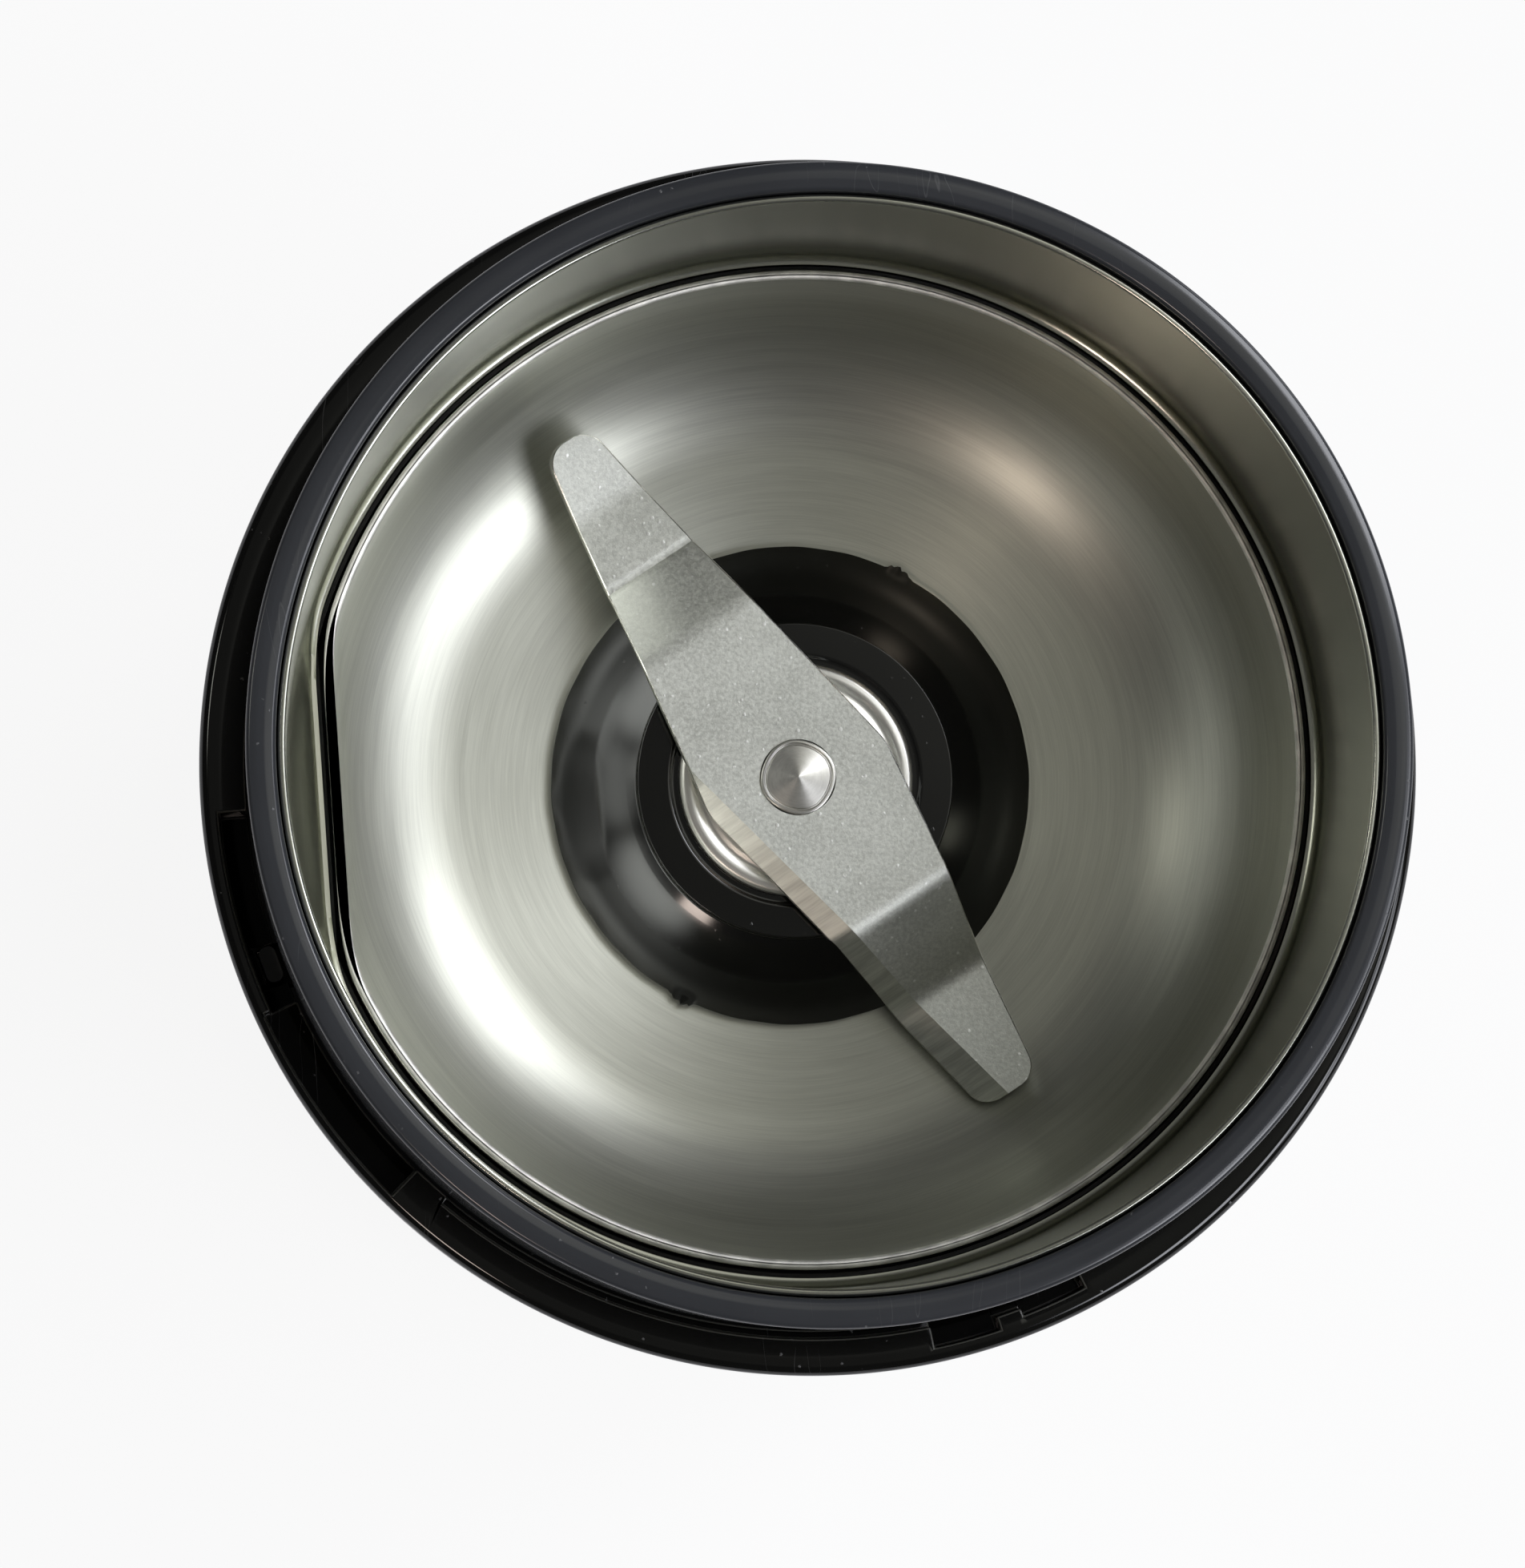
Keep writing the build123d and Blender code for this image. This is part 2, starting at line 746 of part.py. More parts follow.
with BuildPart() as bowl_base:
    ring(hub_tube_radius + loose, base_ring_radius, base_flange_bottom, base_flange_top)
    skirt_bore = base_ring_radius - base_ring_wall
    ring(skirt_bore, base_ring_radius, bowl_base_bottom, bowl_base_bottom + skirt_height)
    support_top = seat_level - bowl_thickness - fit
    ring(support_ring_radius - base_ring_wall, support_ring_radius, base_flange_bottom, support_top)
    rods(clamp_places, screw_radius + fit, base_flange_bottom, base_flange_top, Mode.SUBTRACT)

with BuildPart() as bowl_screws:
    screws(clamp_places, screw_radius, screw_head_radius, base_flange_rise / 2, base_flange_bottom,
           clamp_screw_length)

# ------------------------------------------------------- bearing, shaft and washer

with BuildPart() as blade_bush:
    ring(shaft_radius + running, bush_radius, bush_bottom, bush_top)

with BuildPart() as blade_shaft_seal:
    ring(shaft_radius + running, bush_radius, bush_top, boss_level)

with BuildPart() as blade_shaft:
    rivet_top = blade_top + rivet_rise
    turn([
        (0, driven_bottom),
        (shaft_radius, driven_bottom),
        (shaft_radius, washer_level),
        (neck_radius, washer_level),
        (neck_radius, rivet_top),
        (0, rivet_top + rivet_cone),
    ])
    ring(shaft_radius - circlip_depth, shaft_radius + fit, circlip_level, circlip_level + circlip_thickness,
         Mode.SUBTRACT)

with BuildPart() as shaft_circlip:
    clip_bottom = circlip_level + fit
    clip_top = circlip_level + circlip_thickness - fit
    ring(shaft_radius - circlip_depth + fit, shaft_radius + circlip_reach, clip_bottom, clip_top)
    sector(shaft_radius / 2, 2 * coupling_radius, 0, circlip_gap, clip_bottom, clip_top, Mode.SUBTRACT)

with BuildPart() as thrust_washer:
    washer_bottom = circlip_level + circlip_thickness
    ring(shaft_radius + fit, shaft_radius + circlip_reach, washer_bottom, washer_bottom + thrust_thickness)

with BuildPart() as blade_washer:
    turn([
        (neck_radius + fit, washer_level),
        (washer_radius, washer_level),
        (washer_radius, blade_level),
        (neck_radius + fit, blade_level),
    ], rounds=[((washer_radius, blade_level), washer_round)])

# -------------------------------------------------------------------------- blade

blade_axis = polar(1, blade_angle)
blade_line = [
    (-blade_length, tip_lift - high_drop),
    (-high_lift, -high_drop),
    (-high_flat, -high_drop),
    (-high_bend, 0),
    (low_bend, 0),
    (low_flat, -low_drop),
    (blade_length_low, -low_drop),
]
bevel_slope = (blade_thickness - bevel_edge) / bevel_width
bevel_reach = 3 * bevel_width


def line_height(along):
    """Height of the blade's top face above its middle, at a place along it."""
    for (near, low), (far, high) in zip(blade_line, blade_line[1:]):
        if near <= along <= far:
            return low + (high - low) * (along - near) / (far - near)
    return 0.0


def bevel(stations, side, rise):
    """Grind one edge of the blade: from above with a rise of 1, from below with -1.

    Each station is a place along the blade and the place across it where the
    ground face starts.
    """
    faces = []
    for along, across in stations:
        level = blade_top + line_height(along) - (blade_thickness if rise < 0 else 0)
        station = Plane(
            origin=(*polar(along, blade_angle), level),
            x_dir=(*polar(1, blade_angle + 90), 0),
            z_dir=(*blade_axis, 0),
        )
        with BuildSketch(station) as section:
            with BuildLine():
                Polyline(
                    (across, 0),
                    (across + side * bevel_reach, -bevel_slope * bevel_reach * rise),
                    (across + side * bevel_reach, bevel_reach * rise),
                    (across, bevel_reach * rise),
                    close=True,
                )
            make_face()
        faces.append(section.sketch.face())
    loft(faces, ruled=True, mode=Mode.SUBTRACT)


with BuildPart() as blade:
    with BuildSketch(facing(blade_angle).offset(blade_level - low_drop)) as plan:
        with BuildLine():
            Polyline(
                (-blade_length, -tip_left),
                (-blade_skew, -blade_half_width),
                (blade_length_low, -low_tip_left),
                (blade_length_low, low_tip_right),
                (blade_skew, blade_half_width),
                (-blade_length, tip_right),
                close=True,
            )
        make_face()
        fillet(plan.vertices(), blade_tip_round)
    extrude(plan.sketch, amount=low_drop + 2 * blade_thickness)
    side_plane = Plane(
        origin=(0, 0, blade_top),
        x_dir=(*blade_axis, 0),
        z_dir=(blade_axis[1], -blade_axis[0], 0),
    )
    with BuildSketch(side_plane) as strip:
        with BuildLine():
            top_line = Polyline(*blade_line)
            offset(top_line, blade_thickness, side=Side.RIGHT, kind=Kind.INTERSECTION)
        make_face()
    extrude(strip.sketch, amount=2 * blade_half_width, both=True, mode=Mode.INTERSECT)
    ring(0, neck_radius + fit, blade_level, blade_top, Mode.SUBTRACT)
    low_stations = [bevel_start, low_bend, low_flat, blade_length_low]
    high_stations = [-bevel_start, -high_bend, -high_flat, -high_lift, -blade_length]
    bevel([(along, bevel_across + bevel_taper * along) for along in low_stations], -1, 1)
    bevel([(along, -bevel_across + bevel_taper * along) for along in high_stations], 1, -1)

# ----------------------------------------------------------------- drive couplings


def dogs(first, bottom, top):
    """Driving dogs, evenly spaced from a first angle."""
    for step in range(dog_count):
        middle = first + 360 / dog_count * step
        sector(dog_inner, coupling_radius, middle - dog_angle / 2, middle + dog_angle / 2, bottom, top)


with BuildPart() as driven_coupling:
    ring(shaft_radius + fit, coupling_radius, driven_bottom, driven_top)
    dogs(0, dog_bottom, driven_bottom)

with BuildPart() as drive_coupling:
    ring(motor_shaft_radius + fit, coupling_radius, drive_bottom, drive_top)
    dogs(180 / dog_count, drive_top, driven_bottom - body_gap)

# -------------------------------------------------------------------------- rotor

with BuildPart() as motor_shaft:
    ring(0, motor_shaft_radius, low_cup_bottom + cup_lip, drive_top)

with BuildPart() as motor_fan:
    ring(0, fan_hub_radius, fan_level, fan_top)
    ring(0, fan_radius, fan_level, fan_level + fan_plate)
    with BuildSketch(Plane.XY.offset(fan_level)) as vanes:
        with PolarLocations((fan_hub_radius + fan_radius) / 2 - fan_blade_root, fan_blade_count):
            Rectangle(fan_radius - fan_hub_radius, fan_blade_width)
    extrude(vanes.sketch, amount=fan_height)
    ring(0, motor_shaft_radius + fit, fan_level, fan_top, Mode.SUBTRACT)

with BuildPart() as armature_core:
    ring(motor_shaft_radius + fit, armature_radius, stack_bottom, stack_top)
    with BuildSketch(Plane.XY.offset(stack_bottom)) as slots:
        with PolarLocations(armature_radius - armature_slot_depth / 2, armature_slots):
            Rectangle(armature_slot_depth, armature_slot_width)
    extrude(slots.sketch, amount=stack_height, mode=Mode.SUBTRACT)

with BuildPart() as armature_winding:
    for bottom in (stack_top + fit, stack_bottom - fit - winding_height):
        top = bottom + winding_height
        turn([
            (winding_inner, bottom),
            (winding_radius, bottom),
            (winding_radius, top),
            (winding_inner, top),
        ], rounds=[
            ((winding_radius, bottom), winding_height / 3),
            ((winding_radius, top), winding_height / 3),
        ])

with BuildPart() as commutator:
    ring(motor_shaft_radius + fit, commutator_radius, commutator_bottom, commutator_top)
    with BuildSketch(Plane.XY.offset(commutator_bottom)) as bars:
        with PolarLocations(commutator_radius, commutator_bars, start_angle=180 / commutator_bars):
            Rectangle(2 * commutator_cut, commutator_cut)
    extrude(bars.sketch, amount=commutator_height, mode=Mode.SUBTRACT)

# ------------------------------------------------------------------ motor, standing

with BuildPart() as stator_core:
    with BuildSketch(Plane.XY.offset(stack_bottom)) as lamination:
        RectangleRounded(stator_x, stator_y, stator_corner)
        RectangleRounded(window_x, window_y, window_corner, mode=Mode.SUBTRACT)
        for middle in (0, 180):
            with BuildLine():
                shoe_start = middle - shoe_angle / 2
                inner_arc = CenterArc((0, 0), stator_bore, shoe_start, shoe_angle)
                outer_arc = CenterArc((0, 0), stator_bore + shoe_thickness, shoe_start, shoe_angle)
                Line(inner_arc @ 0, outer_arc @ 0)
                Line(inner_arc @ 1, outer_arc @ 1)
            make_face()
        neck_start = stator_bore + shoe_thickness / 2
        neck_end = (window_x + stator_x) / 4
        for side in (-1, 1):
            with Locations((side * (neck_start + neck_end) / 2, 0)):
                Rectangle(neck_end - neck_start, neck_width)
        with Locations(*leg_places):
            Circle(bolt_radius + fit, mode=Mode.SUBTRACT)
    extrude(amount=stack_height)

with BuildPart() as field_coils:
    coil_start = stator_bore + shoe_thickness + body_gap
    coil_middle = (stack_top + stack_bottom) / 2
    for side in (-1, 1):
        with BuildSketch(Plane.YZ.offset(side * coil_start)) as turns:
            with Locations((0, coil_middle)):
                RectangleRounded(neck_width + 2 * coil_band, stack_height + 2 * coil_band, coil_band)
                Rectangle(neck_width + 2 * loose, stack_height + 2 * loose, mode=Mode.SUBTRACT)
        extrude(turns.sketch, amount=side * coil_depth)

with BuildPart() as motor_bracket:
    ring(0, bracket_radius, bracket_level, bracket_top)
    ring(0, cup_radius, cup_bottom, bracket_top)
    rods(leg_places, leg_radius, stack_top, bracket_level)
    ring(0, cup_bore, cup_bottom, bracket_top - cup_lip, Mode.SUBTRACT)
    ring(0, motor_shaft_radius + loose, cup_bottom, bracket_top, Mode.SUBTRACT)
    rods(around(bracket_vent_circle, 4), bracket_vent / 2, bracket_level, bracket_top, Mode.SUBTRACT)
    rods(mount_places, bolt_radius + fit, bracket_level, bracket_top, Mode.SUBTRACT)
    rods(leg_places, bolt_radius + fit, stack_top, bracket_level + bracket_thickness / 2, Mode.SUBTRACT)

with BuildPart() as brush_bracket:
    block(Plane.XY, (0, 0), (stator_x, stator_y), low_bracket_level, low_bracket_top, corner=stator_corner)
    ring(0, cup_radius, low_cup_bottom, low_bracket_top)
    rods(leg_places, leg_radius, low_bracket_top, stack_bottom)
    seat_length = holder_start + holder_length - cup_radius
    seat_top = brush_level - brush_side / 2 - loose - holder_wall
    for side in (-1, 1):
        seat_place = (0, side * (stator_y / 2 - seat_length / 4))
        block(Plane.XY, seat_place, (brush_side, seat_length / 2), low_bracket_top, seat_top)
    ring(0, cup_bore, low_cup_bottom + cup_lip, low_bracket_top, Mode.SUBTRACT)
    rods(leg_places, bolt_radius + fit, low_bracket_level, stack_bottom, Mode.SUBTRACT)

with BuildPart() as upper_bearing:
    ring(motor_shaft_radius + running, bearing_radius, cup_bottom, cup_bottom + bearing_height)

with BuildPart() as lower_bearing:
    lower_seat = low_cup_bottom + cup_lip
    ring(motor_shaft_radius + running, bearing_radius, lower_seat, lower_seat + bearing_height)

with BuildPart() as motor_bolts:
    bolt_length = bracket_level + bracket_thickness / 2 - low_bracket_level
    screws(leg_places, bolt_radius, bolt_head_radius, bolt_head_height, low_bracket_level, bolt_length)

brush_start = commutator_radius + brush_gap

with BuildPart() as carbon_brushes:
    for side in (-1, 1):
        place = (0, side * (brush_start + brush_length / 2))
        low_face = brush_level - brush_side / 2
        block(Plane.XY, place, (brush_side, brush_length), low_face, low_face + brush_side)

with BuildPart() as brush_holders:
    for side in (-1, 1):
        place = (0, side * (holder_start + holder_length / 2))
        half = brush_side / 2 + loose
        outside = half + holder_wall
        block(Plane.XY, place, (2 * outside, holder_length), brush_level - outside, brush_level + outside)
        bore_place = (0, side * (holder_start + (holder_length - holder_wall) / 2))
        bore_size = (2 * half, holder_length - holder_wall)
        block(Plane.XY, bore_place, bore_size, brush_level - half, brush_level + half, Mode.SUBTRACT)

with BuildPart() as brush_springs:
    brush_end = brush_start + brush_length
    spring_length = holder_start + holder_length - holder_wall - brush_end
    for side in (-1, 1):
        spring_plane = Plane(origin=(0, side * brush_end, brush_level), z_dir=(0, side, 0))
        coil(spring_plane, spring_radius, spring_wire, spring_length, spring_coils)

with BuildPart() as motor_mounts:
    rods(mount_places, mount_pad_radius, bracket_top, mount_post_bottom)
    rods(mount_places, bolt_radius + fit, bracket_top, mount_post_bottom, Mode.SUBTRACT)

with BuildPart() as mount_screws:
    screws(mount_places, bolt_radius, bolt_head_radius, bolt_head_height, bracket_level, mount_screw_length)

# ------------------------------------------------------------ lid interlock, switch


def across_rod(low, high):
    """Middle and length of a stretch between two radii on the rod's side."""
    return (low + high) / 2, high - low


with BuildPart() as interlock_rod:
    rod_inner = rod_circle - rod_depth / 2
    tip_size = (rod_tip_depth, rod_tip_width)
    block(rod_plane, (rod_tip_circle, 0), tip_size, crank_bottom, ledge_level - rod_tip_drop,
          corner=rod_tip_round)
    middle, length = across_rod(rod_inner, rod_tip_circle + rod_tip_depth / 2)
    block(rod_plane, (middle, 0), (length, rod_tip_width), crank_bottom, crank_top)
    block(rod_plane, (rod_circle, 0), (rod_depth, rod_width), foot_bottom, crank_top)
    middle, length = across_rod(rod_pin_circle - rod_width / 2, rod_circle + rod_depth / 2)
    block(rod_plane, (middle, 0), (length, rod_width), foot_bottom, foot_top)
    rods([(rod_pin_circle, 0)], rod_pin_radius, pin_bottom, foot_bottom, plane=rod_plane)

with BuildPart() as return_spring:
    spring_seat = Plane(origin=(*polar(rod_pin_circle, rod_angle), holder_shelf_top), z_dir=(0, 0, 1))
    return_radius = rod_pin_radius + return_wire + body_gap
    coil(spring_seat, return_radius, return_wire, foot_bottom - holder_shelf_top, return_coils)

with BuildPart() as switch_holder:
    plate_start = rod_angle + holder_start_turn
    plate_end = rod_angle + holder_end_turn
    plate_bore = holder_radius - holder_plate
    sector(plate_bore, holder_radius, plate_start, plate_end, switch_bottom, holder_shelf_top)
    sector(switch_place - switch_width / 2, holder_radius, plate_start, plate_end,
           holder_shelf_bottom, holder_shelf_top)
    rods([(rod_pin_circle, 0)], rod_pin_radius + running, holder_shelf_bottom, holder_shelf_top,
         Mode.SUBTRACT, rod_plane)
    switch_pins = [(switch_shift + switch_pin_spread / 2 * side, switch_bottom + switch_height / 2)
                   for side in (-1, 1)]
    pin_plane = Plane(
        origin=(0, 0, 0),
        x_dir=(*polar(1, rod_angle + 90), 0),
        z_dir=(*polar(1, rod_angle), 0),
    )
    for pin in switch_pins:
        pin_end = sqrt((holder_radius - holder_plate / 2) ** 2 - pin[0] ** 2)
        rods([pin], switch_pin_radius, switch_place - switch_width / 2, pin_end, plane=pin_plane)

with BuildPart() as microswitch:
    block(rod_plane, (switch_place, switch_shift), (switch_width, switch_length), switch_bottom, switch_top)
    ear_top = pivot_level + lever_pivot_radius
    for side in (-1, 1):
        ear_place = (switch_place + side * (switch_width - switch_ear) / 2, lever_pivot_place)
        block(rod_plane, ear_place, (switch_ear, switch_ear_length), switch_top, ear_top + loose)
    rods(switch_pins, switch_pin_radius + fit, switch_place - switch_width, switch_place + switch_width,
         Mode.SUBTRACT, pin_plane)
    rods([(lever_pivot_place, pivot_level)], lever_pivot_radius + running, switch_place - switch_width,
         switch_place + switch_width, Mode.SUBTRACT, pin_plane)

with BuildPart() as switch_lever:
    press_level = pin_bottom - lever_gap
    lever_slope = (press_level - pivot_level) / (lever_pivot_place + rod_pin_radius)
    lever_end = lever_pivot_place - lever_length
    lever_plane = pin_plane.offset(switch_place)
    with BuildSketch(lever_plane) as lever_side:
        with BuildLine():
            Polyline(
                (lever_pivot_place, pivot_level),
                (lever_end, pivot_level + lever_slope * lever_length),
                (lever_end, pivot_level + lever_slope * lever_length - lever_thickness),
                (lever_pivot_place, pivot_level - lever_thickness),
                close=True,
            )
        make_face()
    extrude(lever_side.sketch, amount=lever_width / 2, both=True)
    pivot_reach = switch_width / 2
    rods([(lever_pivot_place, pivot_level)], lever_pivot_radius, switch_place - pivot_reach,
         switch_place + pivot_reach, plane=pin_plane)

# --------------------------------------------------------------------- mains side

with BuildPart() as cord_inlet:
    wall_face = shell_radius(inlet_height + grommet_radius + grommet_flange) + fit
    inlet_plane = Plane(origin=(0, wall_face, inlet_height), z_dir=(0, 1, 0))
    with BuildSketch(inlet_plane) as flange_face:
        Circle(grommet_radius + grommet_flange)
    extrude(flange_face.sketch, amount=grommet_flange_thickness)
    with BuildSketch(inlet_plane) as sleeve_face:
        Circle(grommet_radius - fit)
    extrude(sleeve_face.sketch, amount=-(shell_wall + 2 * grommet_flange_thickness))
    chamfer(cord_inlet.edges().group_by(Axis.Y)[-1], grommet_flange_thickness / 3)
    with BuildSketch(inlet_plane.offset(grommet_flange_thickness)) as inlet_face:
        Circle(inlet_radius)
    extrude(inlet_face.sketch, amount=-2 * shell_wall - 3 * grommet_flange_thickness, mode=Mode.SUBTRACT)

with BuildPart() as terminal_block:
    block_place = (0, block_back + block_depth / 2)
    block_size = (block_width, block_depth)
    block(Plane.XY, block_place, block_size, base_top, base_top + block_height, corner=block_round)
    terminals = [(side * block_width / 4, block_place[1]) for side in (-1, 1)]
    rods(terminals, screw_radius, base_top + block_height / 2, base_top + block_height, Mode.SUBTRACT)

with BuildPart() as suppression_capacitor:
    place = (capacitor_place + capacitor_width / 2, 0)
    block(Plane.XY, place, (capacitor_width, capacitor_length), base_top, base_top + capacitor_height,
          corner=capacitor_round)

with BuildPart() as thermal_fuse:
    fuse_line = (0, (window_y + stator_y) / 4, stack_top + fuse_radius + fit)
    with BuildSketch(Plane(origin=fuse_line, z_dir=(1, 0, 0))) as fuse_face:
        Circle(fuse_radius)
    extrude(fuse_face.sketch, amount=fuse_length / 2, both=True)
    chamfer(thermal_fuse.edges().filter_by(GeomType.CIRCLE), fuse_radius / 3)

lead_level = base_top + block_height / 2
block_side = block_width / 2 + fit
block_middle = block_back + block_depth / 2
switch_foot = switch_bottom - fit
coil_foot = coil_middle - stack_height / 2 - coil_band - fit
coil_x = coil_start + coil_depth / 2
switch_tab = polar(switch_place, rod_angle + switch_tab_turn)
coil_lead_start = polar(coil_lead_circle, coil_lead_angle)
switch_tab_level = switch_foot - switch_tab_drop
coil_lead_level = coil_foot - coil_lead_drop
coil_tab_level = coil_foot - coil_tab_drop
lead_routes = [
    [(-block_side, block_middle, lead_level),
     *[(*polar(lead_circle - inwards, angle), lead_level + rise) for angle, rise, inwards in switch_lead],
     (*switch_tab, switch_tab_level), (*switch_tab, switch_foot)],
    [(*coil_lead_start, switch_foot), (*coil_lead_start, coil_lead_level),
     (-coil_x, -coil_tab_y, coil_tab_level), (-coil_x, -coil_tab_y, coil_foot)],
    [(block_side, block_middle, lead_level),
     *[(*polar(lead_circle - inwards, angle), lead_level + rise) for angle, rise, inwards in block_lead],
     (coil_x, coil_tab_y, coil_tab_level), (coil_x, coil_tab_y, coil_foot)],
]

with BuildPart() as internal_leads:
    for route in lead_routes:
        with BuildLine() as path:
            FilletPolyline(*route, radius=lead_bend)
        with BuildSketch(Plane(origin=path.line @ 0, z_dir=path.line % 0)) as section:
            Circle(lead_radius)
        sweep(section.sketch, path=path.line)

# -------------------------------------------------------------------------- export

pieces = {
    "rubber_feet": rubber_feet,
    "base_plate": base_plate,
    "base_screws": base_screws,
    "housing_shell": shell,
    "ledge_collar": ledge_collar,
    "rim_chamber": rim_chamber,
    "well_sleeve": well_sleeve,
    "bowl_seal": bowl_seal,
    "grinding_bowl": bowl,
    "bowl_hub": bowl_hub,
    "bowl_base": bowl_base,
    "bowl_screws": bowl_screws,
    "blade_bush": blade_bush,
    "blade_shaft_seal": blade_shaft_seal,
    "blade_shaft": blade_shaft,
    "shaft_circlip": shaft_circlip,
    "thrust_washer": thrust_washer,
    "blade_washer": blade_washer,
    "grinding_blade": blade,
    "driven_coupling": driven_coupling,
    "drive_coupling": drive_coupling,
    "motor_shaft": motor_shaft,
    "motor_fan": motor_fan,
    "armature_core": armature_core,
    "armature_winding": armature_winding,
    "commutator": commutator,
    "stator_core": stator_core,
    "field_coils": field_coils,
    "motor_bracket": motor_bracket,
    "brush_bracket": brush_bracket,
    "upper_bearing": upper_bearing,
    "lower_bearing": lower_bearing,
    "motor_bolts": motor_bolts,
    "carbon_brushes": carbon_brushes,
    "brush_holders": brush_holders,
    "brush_springs": brush_springs,
    "motor_mounts": motor_mounts,
    "mount_screws": mount_screws,
    "interlock_rod": interlock_rod,
    "return_spring": return_spring,
    "switch_holder": switch_holder,
    "microswitch": microswitch,
    "switch_lever": switch_lever,
    "cord_inlet": cord_inlet,
    "terminal_block": terminal_block,
    "suppression_capacitor": suppression_capacitor,
    "thermal_fuse": thermal_fuse,
    "internal_leads": internal_leads,
}

os.makedirs("parts", exist_ok=True)
for name, piece in pieces.items():
    piece.part.label = name
    export_step(piece.part, f"parts/{name}.step")
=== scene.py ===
from math import acos, atan2, ceil, cos, degrees, exp, hypot, pi, radians, sin, sqrt, tan

import bpy
from mathutils import Matrix, Vector


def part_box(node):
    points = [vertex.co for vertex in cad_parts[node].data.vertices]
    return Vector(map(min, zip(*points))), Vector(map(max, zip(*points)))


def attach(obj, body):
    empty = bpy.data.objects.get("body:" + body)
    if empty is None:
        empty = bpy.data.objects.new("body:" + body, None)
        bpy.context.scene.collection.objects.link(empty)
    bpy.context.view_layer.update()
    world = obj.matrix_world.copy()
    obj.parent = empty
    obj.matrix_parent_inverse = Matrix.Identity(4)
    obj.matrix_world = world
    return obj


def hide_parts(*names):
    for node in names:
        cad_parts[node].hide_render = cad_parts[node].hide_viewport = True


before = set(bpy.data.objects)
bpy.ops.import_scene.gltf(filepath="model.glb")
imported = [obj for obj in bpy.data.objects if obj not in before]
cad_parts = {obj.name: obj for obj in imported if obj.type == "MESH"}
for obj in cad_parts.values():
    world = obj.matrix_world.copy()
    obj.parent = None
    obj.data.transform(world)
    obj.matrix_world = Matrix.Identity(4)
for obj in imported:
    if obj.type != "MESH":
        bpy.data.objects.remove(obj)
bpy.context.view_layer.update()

bl_info = {
    "name": "Spice Grinder Finish",
    "version": (1, 0, 0),
    "blender": (4, 5, 0),
    "location": "3D View > Sidebar > Spice Grinder",
    "description": "Finished pieces and materials for an electric spice grinder, around its packed solids",
    "category": "Object",
}

mm = 0.001


def span(node):
    """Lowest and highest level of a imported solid."""
    low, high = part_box(node)
    return low.z, high.z


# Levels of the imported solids
collar_foot, ledge_top = span("ledge_collar")
rim_top = span("rim_chamber")[1]
sleeve_under, sleeve_top = span("well_sleeve")
bowl_under, lip_top = span("grinding_bowl")
tube_under, boss_top = span("bowl_hub")
shaft_under, rivet_top = span("blade_shaft")
washer_under, washer_top = span("blade_washer")

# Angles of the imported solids
flat_angle = radians(184.0)
blade_angle = radians(303.9)
rod_angle = radians(200.5)

# Ledge
ledge_radius = 47.5 * mm
ledge_round = 0.9 * mm
parting_level = ledge_top - 8.6 * mm
parting_radius = ledge_radius - 0.1 * mm
spigot_radius = 45.6 * mm

# Rim
rim_radius = ledge_radius - 3.75 * mm
rim_bore = rim_radius - 2.28 * mm
rim_crown = 0.16 * mm  # from its edges up to its middle
relief_radius = rim_radius - 0.55 * mm
collar_bore = rim_radius + 0.2 * mm

# Sleeve
sheet = 0.6 * mm
sleeve_radius = rim_bore - 0.12 * mm
sleeve_bore = sleeve_radius - sheet
sleeve_lean = radians(24.0)
shelf_top = sleeve_under + sheet
shelf_bore = 39.95 * mm
sheet_edge = 0.25 * mm

# Bowl
bowl_radius = rim_radius - 4.45 * mm
bowl_wall = 0.8 * mm
bowl_bore = bowl_radius - bowl_wall
bowl_hole = 16.0 * mm
floor_start = 19.7 * mm
floor_round = 1.0 * mm
seat_level = bowl_under + bowl_wall  # of the floor, at the hub
wall_foot = seat_level + 1.0 * mm  # of the floor, carried on to the wall
corner_foot = seat_level + 0.37 * mm  # where the corner's round meets the floor
flat_place = bowl_radius - 1.95 * mm
mouth_flat = flat_place + 0.6 * mm
sleeve_flat = mouth_flat + 0.35 * mm

# Chamber
seal_level = ledge_top - 10.0 * mm
flange_top = ledge_top - 12.0 * mm
flange_under = flange_top - 2.0 * mm
flange_radius = 45.55 * mm
chamber_bore = bowl_radius + 0.7 * mm
chamber_radius = chamber_bore + 1.6 * mm
floor_top = ledge_top - 34.0 * mm
floor_under = floor_top - 3.0 * mm
dam_top = floor_top + 0.8 * mm
dam_bore = 11.5 * mm
dam_radius = dam_bore + 1.6 * mm

# Hub
hub_bore = 6.55 * mm
tube_radius = 9.0 * mm
plug_radius = 15.8 * mm
hub_radius = 19.45 * mm
hub_under = seat_level - 2.5 * mm
hub_edge_top = seat_level + 0.8 * mm
boss_radius = 12.7 * mm
lug_angles = (63.0, 243.0)  # in degrees

# Shaft and washer
shaft_radius = 4.0 * mm
neck_radius = 3.0 * mm
washer_radius = 9.4 * mm
washer_hole = 3.05 * mm


# ------------------------------------------------------------------- settings


